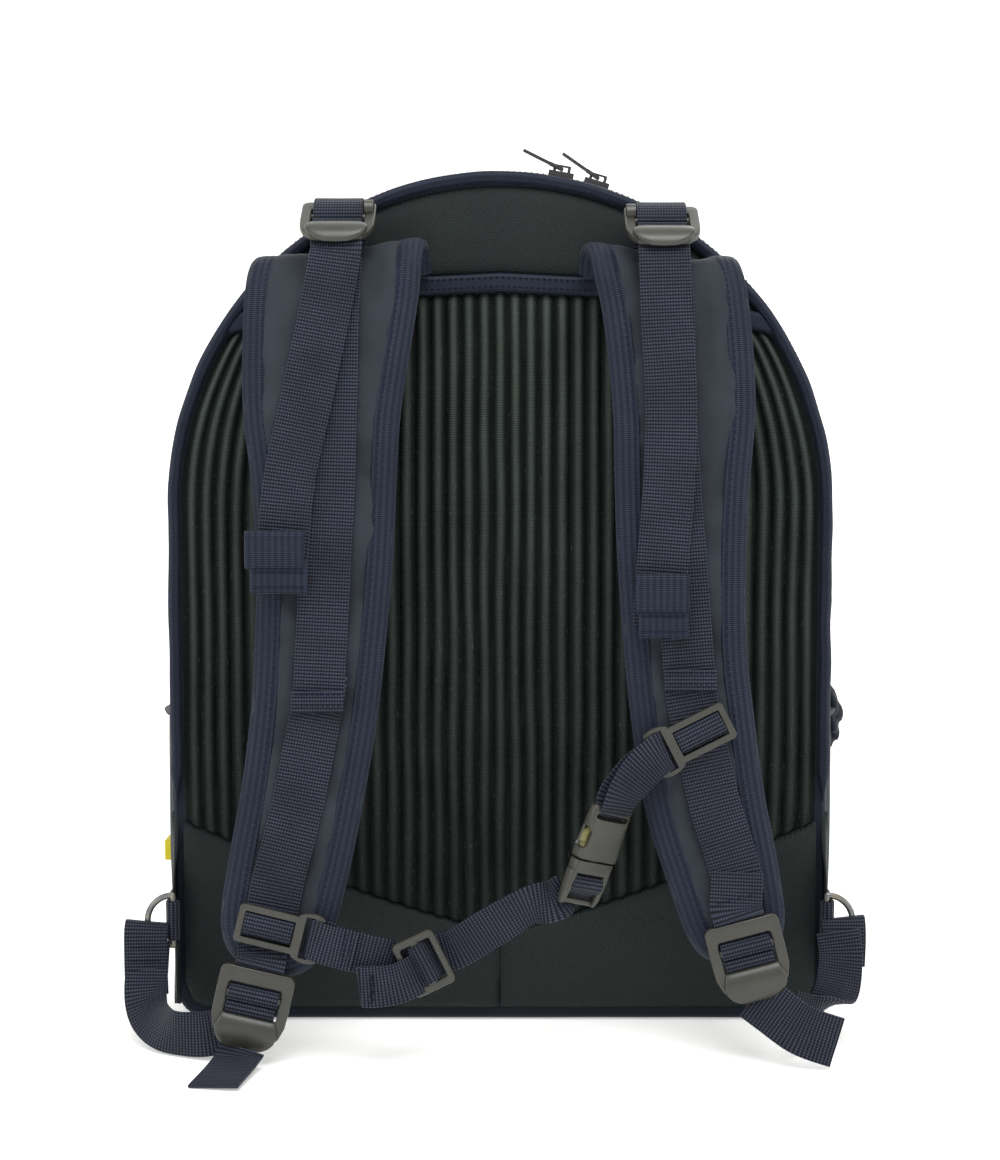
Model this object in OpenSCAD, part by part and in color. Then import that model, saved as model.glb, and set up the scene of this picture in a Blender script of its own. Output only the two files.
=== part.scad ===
// A day pack with a curved top, a ribbed back panel, two adjustable shoulder straps joined by a sternum
// strap, and a solar panel with its power bank in the front pocket. Millimetres, +Z up.
// The origin is the middle of the base. The harness side faces -Y and the solar side faces +Y.

/* [Body] */
// Width of the pack, which is also twice the radius of its curved top
body_w = 340; // [300:1:420]
// Height of the pack
body_h = 438; // [400:1:540]
// Depth of the main compartment
main_d = 128; // [100:1:170]
// Depth of the front pocket
pocket_d = 24; // [22:1:50]
// Thickness of the fabric walls
wall = 2; // [1.5:0.1:3]
// Corner radius at the bottom of the pack
corner_r = 16; // [10:1:30]
// Height of the back panel's bottom seam in the middle
seam_low = 46; // [30:1:60]
// Height of the back panel's bottom seam at the sides
seam_high = 104; // [90:1:110]
// Height of the seam that the shoulder straps leave
strap_seam = 387; // [380:1:390]

/* [Solar and power] */
// Width of the solar panel
solar_w = 196; // [150:1:210]
// Height of the solar panel
solar_h = 232; // [180:1:240]
// Columns of cells
cell_cols = 4; // [2:1:6]
// Rows of cells
cell_rows = 6; // [3:1:9]
// Length, width and thickness of the power bank
bank = [140, 70, 15]; // [60:1:160]

/* [Shoulder straps] */
// Thickness of the padded straps
pad_t = 9; // [6:0.5:10]
// Width of the strap webbing
webbing_w = 25; // [20:1:26]
// Thickness of all webbing
webbing_t = 1.6; // [1.2:0.1:2]
// Width of the sternum webbing
sternum_w = 20; // [15:1:21]

/* [Hardware] */
// Width of a ladder lock
lock_w = 37; // [34:0.5:40]
// Height of a ladder lock
lock_h = 40; // [36:0.5:42]
// Thickness of moulded plastic bars
bar_t = 4; // [3:0.25:4.5]
// Wire radius of the D-rings
ring_wire = 1.6; // [1.2:0.1:2]
// Width of the side-release buckle
buckle_w = 25; // [24:0.5:30]
// Running clearance between moving pieces
gap = 0.4; // [0.3:0.05:0.5]

/* [Hidden] */
$fn = 64;

navy = "#232b45";
black = "#14191c";
green_black = "#202824";
plastic = "#4a4a45";

arch_r = body_w / 2;
arch_z = body_h - arch_r;
back_y = -70;              // front edge of the shell on the harness side
front_y = back_y + main_d; // where the front panel starts
pocket_y = front_y + wall; // where the front pocket starts
solar_y = pocket_y + pocket_d;
panel_t = 4;               // thickness of the padded back skins
panel_inset = 6;           // the back skins stop this far inside the outline
cushion_t = 4;             // thickness of the foam behind the skins
sheet_t = 1.5;             // thickness of the frame sheet
board_t = 3;               // thickness of the base board

// ---------------------------------------------------------------- curves and ribbons

function unit(v) = v / norm(v);
function mid_curve(a, b, c, d, t) =
    0.5 * (2 * b + (c - a) * t + (2 * a - 5 * b + 4 * c - d) * t * t + (3 * b - a - 3 * c + d) * t * t * t);
function at(list, i) = list[max(0, min(len(list) - 1, i))];
function smooth(list, n) = concat(
    [for (i = [0:len(list) - 2], k = [0:n - 1])
        mid_curve(at(list, i - 1), list[i], list[i + 1], at(list, i + 2), k / n)],
    [list[len(list) - 1]]);

// A flat strap swept along a smooth route. side says which way its width lies at each route point,
// and wide and thick are its width and thickness there.
module ribbon(route, side, wide, thick, n = 4, edge = 0.5) {
    path = smooth(route, n);
    across = smooth(side, n);
    widths = smooth(wide, n);
    last = len(path) - 1;
    section = [[-1, -1], [1, -1], [1, 1], [-1, 1]];
    points = [for (i = [0:last])
        let (along = unit(at(path, i + 1) - at(path, i - 1)),
             raw = across[i] - (across[i] * along) * along,
             u = unit(raw), v = cross(along, u), w = widths[i] / 2, h = thick / 2, e = min(edge, h * 0.8))
        each [for (q = [[-1, -1, 1, 0], [1, -1, 1, 0], [1, -1, 0, 1], [1, 1, 0, 1],
                        [1, 1, 1, 0], [-1, 1, 1, 0], [-1, 1, 0, 1], [-1, -1, 0, 1]])
            path[i] + u * q[0] * (w - q[2] * e) + v * q[1] * (h - q[3] * e)]];
    sides = [for (i = [0:last - 1], k = [0:7])
        let (a = i * 8 + k, b = i * 8 + (k + 1) % 8) each [[a, b, b + 8], [a, b + 8, a + 8]]];
    start = [[for (k = [7:-1:0]) k]];
    end = [[for (k = [0:7]) last * 8 + k]];
    polyhedron(points, concat(sides, start, end), convexity = 6);
}

function same(value, route) = [for (p = route) value];

// A strap of one width
module webbing(route, side, wide = webbing_w, n = 4) {
    ribbon(route, side, same(wide, route), webbing_t, n);
}

// A round lead swept along a smooth route
module lead(route, r, n = 4) {
    path = smooth(route, n);
    last = len(path) - 1;
    count = 8;
    points = [for (i = [0:last])
        let (along = unit(at(path, i + 1) - at(path, i - 1)), u = unit(cross(along, [0, 0.2, 1])), v = cross(along, u))
        each [for (k = [0:count - 1]) path[i] + r * (cos(k * 360 / count) * u + sin(k * 360 / count) * v)]];
    sides = [for (i = [0:last - 1], k = [0:count - 1])
        let (a = i * count + k, b = i * count + (k + 1) % count)
        each [[a, b, b + count], [a, b + count, a + count]]];
    polyhedron(points, concat(sides, [[for (k = [count - 1:-1:0]) k]], [[for (k = [0:count - 1]) last * count + k]]));
}

// ---------------------------------------------------------------- body of the pack

// Outline of the pack seen from the harness side: straight sides, a half-round top, rounded feet
module outline(inset = 0) {
    r = max(2, corner_r - inset);
    half = arch_r - inset;
    translate([0, arch_z]) circle(half, $fn = 128);
    translate([-half, inset + r]) square([2 * half, arch_z - inset - r]);
    translate([-half + r, inset]) square([2 * (half - r), r + 1]);
    for (x = [-1, 1]) translate([x * (half - r), inset + r]) circle(r);
}

// A slice of the pack's outline between two depths
module slab(y0, y1) {
    translate([0, y1, 0]) rotate([90, 0, 0]) linear_extrude(y1 - y0) children();
}

module main_shell() {
    color(black) slab(back_y, front_y) difference() {
        outline();
        outline(wall);
    }
}

module front_panel() {
    color(black) slab(front_y, pocket_y) outline();
}

module base_board() {
    color(black) translate([-arch_r + corner_r + wall, back_y + cushion_t + 2 * wall, wall])
        cube([body_w - 2 * corner_r - 2 * wall, main_d - cushion_t - 3 * wall, board_t]);
}

module frame_sheet() {
    color("dimgray") slab(back_y + cushion_t, back_y + cushion_t + sheet_t) outline(wall + gap);
}

module back_foam() {
    color("gray") slab(back_y, back_y + cushion_t) outline(wall + gap);
}

// Bottom seam of the ribbed panel: low in the middle, rising to both sides
function seam_z(x) = seam_low + (seam_high - seam_low) * pow(abs(x) / (arch_r - panel_inset), 1.25);
seam_x = [for (i = [-6:6]) i / 6 * (arch_r - panel_inset)];
binding_h = 8;
// Upper edge of the ribbed panel: level under the yoke, falling outwards to both sides
shoulder = [for (q = [[0, 0], [60, 3], [140, 22], [arch_r + 5, 36]]) [q[0], strap_seam - binding_h - q[1]]];

// Everything above that edge, or above a line a little higher
module above_shoulder(lift = 0) {
    polygon(concat([for (i = [3:-1:1]) [-shoulder[i][0], shoulder[i][1] + lift]],
                   [for (q = shoulder) [q[0], q[1] + lift]],
                   [[arch_r + 5, body_h + 5], [-arch_r - 5, body_h + 5]]));
}

module below_seam() {
    polygon(concat([for (x = seam_x) [x, seam_z(x)]], [[arch_r, 0], [-arch_r, 0]]));
}

module back_skin() { slab(back_y - panel_t, back_y) children(); }

module back_mesh() {
    color(black) back_skin() difference() {
        outline(panel_inset);
        above_shoulder();
        below_seam();
    }
}

module yoke_panel() {
    color(green_black) back_skin() intersection() {
        outline(panel_inset);
        above_shoulder(binding_h);
    }
}

module top_binding() {
    color(navy) back_skin() intersection() {
        outline(panel_inset);
        difference() {
            above_shoulder();
            above_shoulder(binding_h);
        }
    }
}

// Two skins that meet at the middle seam
module lower_back_panel() {
    color(green_black) for (side = [0, 1]) mirror([side, 0, 0]) back_skin() intersection() {
        outline(panel_inset);
        below_seam();
        translate([0.1, 0]) square([arch_r, seam_high + 5]);
    }
}

piping_r = 3;
piping_end = seam_high + 12;
module edge_piping() {
    ring_r = arch_r - piping_r + 0.5;
    color(navy) translate([0, back_y - piping_r, 0]) {
        translate([0, 0, arch_z]) rotate([90, 0, 0]) rotate_extrude(angle = 180)
            translate([ring_r, 0]) circle(piping_r);
        for (x = [-1, 1]) translate([x * ring_r, 0, piping_end]) cylinder(arch_z - piping_end, piping_r, piping_r);
    }
}

// ---------------------------------------------------------------- zip

zip_y = -56;
tape_w = 26;
tape_t = 0.9;
coil_w = 6;
coil_t = 1.6;
side_z1 = 160; // top of the side pockets, which the zip stops above
zip_end = max(arch_z - 90, side_z1 + 4);
module arch_band(y0, y1, r0, r1, z0) {
    slab(y0, y1) difference() {
        union() {
            translate([0, arch_z]) circle(r1, $fn = 128);
            translate([-r1, z0]) square([2 * r1, arch_z - z0]);
        }
        translate([0, arch_z]) circle(r0, $fn = 128);
        translate([-r0, z0 - 1]) square([2 * r0, arch_z - z0 + 1]);
        translate([-r1 - 1, z0 - r1 - 1]) square([2 * r1 + 2, r1 + 1]);
    }
}

module zip_tape() {
    color(navy) {
        arch_band(zip_y - tape_w / 2, zip_y + tape_w / 2, arch_r, arch_r + tape_t, zip_end);
        arch_band(zip_y - coil_w / 2, zip_y + coil_w / 2, arch_r + tape_t, arch_r + tape_t + coil_t, zip_end);
    }
}

slider_len = 13;
slider_d = 9.2;
slider_t = 1.6;
slider_lip = 1;
slider_floor = tape_t + coil_t + gap; // height of the slider's underside over the shell
slider_top = slider_floor + slider_t;
bridge_h = 3.6;
pin_r = 0.8;
pin_h = slider_top + 1.5;
left_slide_at = 10.4;
right_slide_at = 16.6;
left_pull_rise = 16;
right_pull_rise = 18;

// Puts a piece on the curved top, turned by an angle from the highest point
module on_arch(turn) {
    translate([0, zip_y, arch_z]) rotate([0, turn, 0]) translate([0, 0, arch_r]) children();
}

module zip_slider() {
    translate([-slider_len / 2, -slider_d / 2, slider_floor]) cube([slider_len, slider_d, slider_t]);
    for (y = [-slider_d / 2, slider_d / 2 - slider_lip])
        translate([-slider_len / 2, y, tape_t + gap + 0.2]) cube([slider_len, slider_lip, slider_floor - tape_t - gap]);
    difference() {
        translate([-4.5, -1.1, slider_top]) cube([9, 2.2, bridge_h]);
        translate([-3, -2, slider_top + 0.3]) cube([6, 4, 2.4]);
    }
}

module zip_pull(rise) {
    translate([0, 0, pin_h]) rotate([0, rise, 0]) difference() {
        union() {
            rotate([90, 0, 0]) cylinder(5.6, pin_r, pin_r, center = true, $fn = 24);
            for (y = [-2.8, 1.6]) translate([-7, y, -pin_r]) cube([7, 1.2, 2 * pin_r]);
            translate([-22, -2.8, -0.6]) cube([15.5, 5.6, 1.2]);
        }
        translate([-18, -1.2, -2]) cube([9, 2.4, 4]);
    }
}

module zip_slider_left() { color(plastic) on_arch(left_slide_at) zip_slider(); }
module zip_slider_right() { color(plastic) on_arch(right_slide_at) zip_slider(); }
module zip_pull_left() { color(plastic) on_arch(left_slide_at) zip_pull(left_pull_rise); }
module zip_pull_right() { color(plastic) on_arch(right_slide_at) zip_pull(right_pull_rise); }

// ---------------------------------------------------------------- front pocket, solar panel and power

pocket_inset = 14;
solar_z = 110;
bezel_w = 10;
film_t = 0.8;
cell_t = 0.5;
backing_t = 1.2;
cell_gap = 3;
bank_z = 40;
port_z = 150;
lead_r = 2;
box_size = [44, 10, 30];
box_z = solar_z + 24;
lead_hole_r = lead_r + 1;
pocket_in_y = pocket_y + wall;
box_y = solar_y - wall - box_size[1];
bank_y = pocket_y + 1.5;
port_x = arch_r - pocket_inset;
port_r = 6.6;
port_flange_r = 9;

module front_pocket() {
    color(black) difference() {
        slab(pocket_y, solar_y) outline(pocket_inset);
        slab(pocket_y - 1, solar_y - wall) outline(pocket_inset + wall);
        translate([0, solar_y, box_z + box_size[2] / 2]) rotate([90, 0, 0])
            cylinder(3 * wall, lead_hole_r, lead_hole_r, center = true);
        translate([port_x, pocket_y + pocket_d / 2, port_z]) rotate([0, 90, 0])
            cylinder(4 * wall, port_r + gap, port_r + gap, center = true);
    }
}

module solar_frame(inset) {
    translate([-solar_w / 2 + inset, solar_z + inset]) square([solar_w - 2 * inset, solar_h - 2 * inset]);
}

module solar_backing() {
    color("dimgray") slab(solar_y, solar_y + backing_t) difference() {
        solar_frame(bezel_w);
        translate([0, box_z + box_size[2] / 2]) circle(lead_hole_r);
    }
}

module solar_cells() {
    cell_w = (solar_w - 2 * bezel_w - (cell_cols + 1) * cell_gap) / cell_cols;
    cell_h = (solar_h - 2 * bezel_w - (cell_rows + 1) * cell_gap) / cell_rows;
    color("#141c34") for (i = [0:cell_cols - 1], j = [0:cell_rows - 1])
        translate([-solar_w / 2 + bezel_w + cell_gap + i * (cell_w + cell_gap), solar_y + backing_t,
                   solar_z + bezel_w + cell_gap + j * (cell_h + cell_gap)])
            cube([cell_w, cell_t, cell_h]);
}

module solar_film() {
    y0 = solar_y + backing_t + cell_t;
    color("lightblue", 0.4) slab(y0, y0 + film_t) solar_frame(bezel_w);
}

module solar_bezel() {
    color(black) slab(solar_y, solar_y + backing_t + cell_t + film_t + 0.8) difference() {
        solar_frame(0);
        solar_frame(bezel_w);
    }
}

module junction_box() {
    color(plastic) translate([-box_size[0] / 2, box_y, box_z]) cube(box_size);
}

module power_bank() {
    color("silver") translate([-bank[0] / 2, bank_y, bank_z]) cube([bank[0], bank[2], bank[1]]);
}

module panel_lead() {
    y = bank_y + bank[2] / 2;
    color("black") lead([[-14, box_y + box_size[1] / 2 - 1, box_z], [-14, y + 2, box_z - 6], [-18, y, box_z - 12],
                         [-20, y, bank_z + bank[1] + 0.1]], lead_r);
}

module usb_lead() {
    y = bank_y + bank[2] / 2;
    top = bank_z + bank[1];
    color("black") lead([[30, y, top + 0.1], [30, y, top + 12], [60, y, top + 24], [110, y, port_z - 8],
                         [port_x - 26, y, port_z - 2], [port_x - 14, pocket_y + pocket_d / 2, port_z],
                         [port_x - 8.1, pocket_y + pocket_d / 2, port_z]], lead_r);
}

module usb_port() {
    color(plastic) translate([port_x, pocket_y + pocket_d / 2, port_z]) rotate([0, 90, 0]) difference() {
        union() {
            translate([0, 0, -8]) cylinder(8, port_r, port_r);
            cylinder(2, port_flange_r, port_flange_r);
        }
        translate([-6.2, -2.3, -6]) cube([12.4, 4.6, 9]);
    }
}

sleeve_d = 26;
sleeve_t = 3;
sleeve_w = 270;
sleeve_h = 280;
sleeve_z = 14;
module laptop_sleeve() {
    y0 = back_y + cushion_t + sheet_t;
    color("slategray") difference() {
        translate([-sleeve_w / 2, y0, sleeve_z]) cube([sleeve_w, sleeve_d, sleeve_h]);
        translate([-sleeve_w / 2 + sleeve_t, y0 + sleeve_t, sleeve_z + sleeve_t])
            cube([sleeve_w - 2 * sleeve_t, sleeve_d - 2 * sleeve_t, sleeve_h]);
    }
}

// ---------------------------------------------------------------- side pockets, tab and wings

side_bulge = 9;
side_z0 = 24;
side_y = 42;
main_mid_y = (back_y + front_y) / 2;
tab_size = [4.4, 16, 11];
module side_pocket() {
    color(black) difference() {
        translate([arch_r, main_mid_y, side_z0]) linear_extrude(side_z1 - side_z0)
            polygon([[0, -side_y], [side_bulge, -side_y * 0.6], [side_bulge, side_y * 0.6], [0, side_y]]);
        translate([arch_r - 1, main_mid_y, side_z0 + wall]) linear_extrude(side_z1 - side_z0)
            polygon([[0, -side_y + 5], [side_bulge - wall + 1, -side_y * 0.6 + 2],
                     [side_bulge - wall + 1, side_y * 0.6 - 2], [0, side_y - 5]]);
    }
}
module side_pocket_right() { side_pocket(); }
module side_pocket_left() { mirror([1, 0, 0]) side_pocket(); }

module side_tab() {
    color("yellow") translate([-arch_r - side_bulge - tab_size[0] - 0.1, -14, 72]) cube(tab_size);
}

// D-ring place on the right-hand side
ring_x = arch_r - 2;
ring_y = back_y - 18;
ring_z = 57;
ring_r = 13;
tab_h = 20;
tab_r = ring_wire + gap + webbing_t;
wing_d = 13; // how far a wing of the side seam stands out behind the ring tab

module wing() {
    color(green_black) intersection() {
        linear_extrude(120) polygon([[arch_r - 2.9, back_y - wing_d], [arch_r - 1.2, back_y - wing_d],
                                     [arch_r + 0.6, back_y - 0.3], [arch_r - 1.2, back_y - 0.3]]);
        translate([arch_r - 10, 0, 0]) rotate([90, 0, 90]) linear_extrude(20)
            polygon([[back_y, 8], [back_y, seam_high + 6], [back_y - wing_d, ring_z + ring_r],
                     [back_y - wing_d, ring_z - ring_r]]);
    }
}
module wing_right() { wing(); }
module wing_left() { mirror([1, 0, 0]) wing(); }

module ring_tab() {
    color(navy) translate([0, 0, ring_z - tab_h / 2]) linear_extrude(tab_h) difference() {
        union() {
            translate([ring_x, ring_y]) circle(tab_r);
            polygon([[ring_x + tab_r - 0.1, ring_y], [ring_x + tab_r - webbing_t + 0.3, ring_y],
                     [arch_r - 0.8, back_y - wing_d],
                     [arch_r + 1, back_y], [arch_r + 0.5, back_y + 14], [arch_r + 2.2, back_y + 14], [arch_r + 2.6, back_y]]);
        }
        translate([ring_x, ring_y]) circle(tab_r - webbing_t);
    }
}
module ring_tab_right() { ring_tab(); }
module ring_tab_left() { mirror([1, 0, 0]) ring_tab(); }

module d_ring() {
    color("gray") translate([ring_x, ring_y, ring_z]) {
        cylinder(2 * ring_r, ring_wire, ring_wire, center = true, $fn = 32);
        rotate([90, 0, 0]) rotate([0, 0, -90]) rotate_extrude(angle = 180)
            translate([ring_r, 0]) circle(ring_wire, $fn = 32);
        for (z = [-ring_r, ring_r]) translate([0, 0, z]) sphere(ring_wire, $fn = 32);
    }
}
module d_ring_right() { d_ring(); }
module d_ring_left() { mirror([1, 0, 0]) d_ring(); }

// ---------------------------------------------------------------- shoulder straps

// Middle lines of the padded straps, from the seam under the yoke down to the tips
left_pad_route = [[-76, -82, 384], [-77, -90, 393], [-80, -102, 391], [-83, -111, 372], [-87, -118, 323],
                  [-86, -122, 284], [-86, -125, 245], [-88, -127, 206], [-91, -129, 171], [-97, -132, 130],
                  [-104, -135, 94], [-110, -138, 66], [-114, -139, 50], [-116, -139, 43]];
left_pad_width = [82, 83, 84, 84, 77, 70, 66, 63, 61, 59, 58, 54, 40, 14];
right_pad_route = [[76, -82, 384], [77, -90, 392], [81, -102, 389], [86, -111, 370], [90, -118, 323], [89, -122, 284],
                   [89, -125, 245], [91, -127, 200], [94, -129, 171], [100, -131, 130], [109, -134, 94], [116, -137, 66],
                   [119, -138, 54], [120, -138, 48]];
right_pad_width = [72, 73, 73, 71, 69, 65, 62, 59, 59, 58, 54, 48, 36, 14];
across_x = [1, 0, 0];

module shoulder_pad(route, wide) {
    color(navy) ribbon(route, same(across_x, route), wide, pad_t, 3, 3);
}
module shoulder_pad_left() { shoulder_pad(left_pad_route, left_pad_width); }
module shoulder_pad_right() { shoulder_pad(right_pad_route, right_pad_width); }

// Sewn webbing on the front of each pad, which the sternum sliders run along
rail_out = pad_t / 2 + gap + webbing_t / 2;
tail_out = rail_out + webbing_t + gap;
function out_by(off, route) = [for (q = route) [q[0], q[1] - off, q[2]]];
left_rail_route = out_by(rail_out, [[-80, -106, 393], [-81, -113, 372], [-82, -118.5, 323], [-83, -122.5, 284],
                                    [-85, -125.5, 245], [-87, -127.5, 206], [-89, -129.5, 171], [-98, -132.5, 130],
                                    [-107, -135.5, 94], [-113, -138.5, 66], [-115, -139.5, 57]]);
right_rail_route = out_by(rail_out, [[80, -106, 391], [82, -113, 370], [83, -118.5, 323], [85, -122.5, 284],
                                     [88, -125.5, 245], [91, -127.5, 206], [94, -129.5, 176], [104, -131.5, 130],
                                     [114, -134.5, 97], [116, -136.5, 84]]);

module rail_webbing_left() { color(navy) webbing(left_rail_route, same(across_x, left_rail_route), n = 3); }
module rail_webbing_right() { color(navy) webbing(right_rail_route, same(across_x, right_rail_route), n = 3); }

left_tail_route = out_by(tail_out, [[-80, -114, 388], [-85, -116, 366], [-94, -119.5, 323], [-102, -123, 285],
                                    [-106, -126, 246], [-107, -126.5, 225]]);
right_tail_route = out_by(tail_out, [[80, -114, 388], [81, -116, 362], [83, -119.5, 323], [82, -123, 285],
                                     [79, -126, 246], [77, -128, 206]]);
module lifter_tail_left() { color(navy) webbing(left_tail_route, same([1, 0, 0.12], left_tail_route), n = 3); }
module lifter_tail_right() { color(navy) webbing(right_tail_route, same(across_x, right_tail_route), n = 3); }

// ---------------------------------------------------------------- ladder locks, sliders and triglide

module round_bar(length, r) { rotate([0, 90, 0]) cylinder(length, r, r, center = true, $fn = 32); }

// Ladder lock in its own plane: width along X, anchor bar up, lip down, face towards -Y
slot_w = webbing_w + 1.4;
module ladder_lock() {
    rotate([90, 0, 0]) linear_extrude(bar_t, center = true) difference() {
        union() {
            translate([-lock_w / 2 + 3, -lock_h / 2 + 12]) square([lock_w - 6, lock_h - 12]);
            translate([-lock_w / 2, -lock_h / 2 + 12]) square([lock_w, lock_h - 15]);
            for (x = [-1, 1]) translate([x * (lock_w / 2 - 3), lock_h / 2 - 3]) circle(3);
            intersection() {
                translate([0, lock_w * 0.42 - lock_h / 2]) circle(lock_w * 0.54);
                translate([-lock_w / 2, -lock_h / 2]) square([lock_w, 12.5]);
            }
        }
        translate([-slot_w / 2, lock_h / 2 - 10]) square([slot_w, 5]);
        translate([-slot_w / 2, lock_h / 2 - 19]) square([slot_w, 5.5]);
        translate([-slot_w / 2, lock_h / 2 - 29]) square([slot_w, 6]);
    }
}

lock_z = 410.5;
module lifter_lock() { translate([0, back_y - 34, lock_z]) rotate([-60, 0, 0]) ladder_lock(); }
module lifter_lock_left() { color(plastic) translate([-80, 0, 0]) lifter_lock(); }
module lifter_lock_right() { color(plastic) translate([80, 0, -2]) lifter_lock(); }

lifter_anchor_route = out_by(panel_t - back_y, [[0, -1.2, 396], [0, -3.6, 402], [0, -4.8, 410], [0, -8.5, 417.5]]);
module lifter_anchor() {
    color(navy) webbing(lifter_anchor_route, same(across_x, lifter_anchor_route), slot_w - 2, n = 2);
}
module lifter_anchor_left() { translate([-80, 0, 0]) lifter_anchor(); }
module lifter_anchor_right() { translate([80, 0, -2]) lifter_anchor(); }

left_lock_at = [-121.5, -148.5, 28];
left_lock_lean = 13;
right_lock_at = [121.5, -147.5, 52];
right_lock_lean = -15;
module strap_lock_left() { color(plastic) translate(left_lock_at) rotate([0, left_lock_lean, 0]) ladder_lock(); }
module strap_lock_right() { color(plastic) translate(right_lock_at) rotate([0, right_lock_lean, 0]) ladder_lock(); }

// Sternum slider: a ring for the rail webbing, with a loop at one end for the sternum webbing
slider_h = 19;
slider_bar = 3;
slider_w = webbing_w + 2 * slider_bar;
loop_w = 11;
slider_ring_t = 3.4;
module sternum_slider() {
    loop_h = sternum_w + 5;
    rotate([90, 0, 0]) linear_extrude(slider_ring_t, center = true) difference() {
        union() {
            translate([-slider_w / 2 + 2, -slider_h / 2]) square([slider_w - 4, slider_h]);
            translate([-slider_w / 2, -slider_h / 2 + 2]) square([slider_w, slider_h - 4]);
            for (x = [-1, 1], z = [-1, 1]) translate([x * (slider_w / 2 - 2), z * (slider_h / 2 - 2)]) circle(2);
            translate([slider_w / 2 - 1, -loop_h / 2 + 3]) square([loop_w - 2, loop_h - 6]);
            translate([slider_w / 2 + loop_w - 6, 0]) intersection() {
                circle(loop_h / 2);
                translate([-7, -loop_h / 2]) square([12.5, loop_h]);
            }
        }
        translate([-slider_w / 2 + slider_bar, -slider_h / 2 + slider_bar])
            square([slider_w - 2 * slider_bar, slider_h - 2 * slider_bar]);
        translate([slider_w / 2 + 1.5, -sternum_w / 2 - 0.3]) square([4.6, sternum_w + 0.6]);
    }
}

slider_off = rail_out + webbing_t / 2 + gap + slider_ring_t / 2;
left_slider_at = [-112.5, -140.2 - slider_off, 68];
right_slider_at = [97.5, -131.2 - slider_off, 162.5];
left_slider_turn = 14;
right_slider_turn = -27;
module sternum_slider_left() { color(plastic) translate(left_slider_at) rotate([0, left_slider_turn, 0]) sternum_slider(); }
module sternum_slider_right() {
    color(plastic) translate(right_slider_at) rotate([0, right_slider_turn, 0]) mirror([1, 0, 0]) sternum_slider();
}

// Triglide: a frame with one middle bar, for the sternum webbing
triglide_w = 29;
triglide_h = 22;
module triglide() {
    rotate([90, 0, 0]) linear_extrude(3.2, center = true) difference() {
        union() {
            translate([-triglide_h / 2 + 3, -triglide_w / 2]) square([triglide_h - 6, triglide_w]);
            translate([-triglide_h / 2, -triglide_w / 2 + 3]) square([triglide_h, triglide_w - 6]);
            for (x = [-1, 1], z = [-1, 1]) translate([x * (triglide_h / 2 - 3), z * (triglide_w / 2 - 3)]) circle(3);
        }
        for (x = [-triglide_h / 2 + 3, 1.6])
            translate([x, -sternum_w / 2 - 0.6]) square([triglide_h / 2 - 4.6, sternum_w + 1.2]);
    }
}

triglide_at = [-37, -151, 51.5];
triglide_turn = -26;
module sternum_triglide() { color(plastic) translate(triglide_at) rotate([0, triglide_turn, 0]) triglide(); }

// ---------------------------------------------------------------- side-release buckle

buckle_t = 9;
buckle_at = [46, -143.5, 103];
buckle_lean = 20;
buckle_roll = 38;
cavity_w = buckle_w - 1.8;
prong_t = 3.6;
prong_gap = 0.3;
// Buckle frame: X across, Z along towards the female end, face towards -Y
module in_buckle() { translate(buckle_at) rotate([0, buckle_lean, 0]) rotate([0, 0, buckle_roll]) children(); }

module female_shell() {
    difference() {
        union() {
            translate([-buckle_w / 2, -buckle_t / 2, -2]) cube([buckle_w, buckle_t, 20]);
            translate([-buckle_w / 2 + 1, -buckle_t / 2 + 1.5, 18]) cube([buckle_w - 2, buckle_t - 3, 7]);
        }
        translate([-cavity_w / 2, -prong_t / 2 - gap - 0.2, -3]) cube([cavity_w, prong_t + 2 * gap + 0.4, 17.5]);
        for (x = [-1, 1]) translate([x * buckle_w / 2 - 1.5, -3.2, 4]) cube([3, 6.4, 10]);
        translate([-sternum_w / 2 - 0.4, -buckle_t, 18.4]) cube([sternum_w + 0.8, 2 * buckle_t, 3.4]);
    }
}

module male_shell() {
    translate([-buckle_w / 2 + 0.5, -buckle_t / 2 + 0.5, -9]) cube([buckle_w - 1, buckle_t - 1, 6]);
    translate([-3.2, -prong_t / 2, -3.5]) cube([6.4, prong_t, 15]);
    for (x = [-1, 1]) translate([x * (buckle_w / 2 - 2), 0, -17]) translate([-1.5, -3, -9]) cube([3, 6, 17.5]);
    translate([0, 1, -24.5]) round_bar(buckle_w - 4, 1.5);
    translate([0, -0.6, -15]) round_bar(buckle_w - 4, 1.5);
}

prong_root = [buckle_w / 2 - 3.6, 0, -1.2];
module prong(side) {
    outer = cavity_w / 2 - prong_gap;
    translate([side * prong_root[0], 0, prong_root[2]]) rotate([90, 0, 0]) cylinder(prong_t, 1.4, 1.4, center = true, $fn = 32);
    mirror([side < 0 ? 1 : 0, 0, 0]) rotate([90, 0, 0]) linear_extrude(prong_t, center = true)
        polygon([[prong_root[0] - 1.4, -1.2], [prong_root[0] + 1.4, -1.2], [outer - 0.8, 5], [outer, 6],
                 [outer, 10], [outer - 2, 13], [outer - 3.6, 13], [outer - 3.6, 4]]);
}

module buckle_female() { color(plastic) in_buckle() female_shell(); }
module buckle_male() { color(plastic) in_buckle() male_shell(); }
module buckle_prong_left() { color(plastic) in_buckle() prong(-1); }
module buckle_prong_right() { color(plastic) in_buckle() prong(1); }

// ---------------------------------------------------------------- loose webbing

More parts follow.
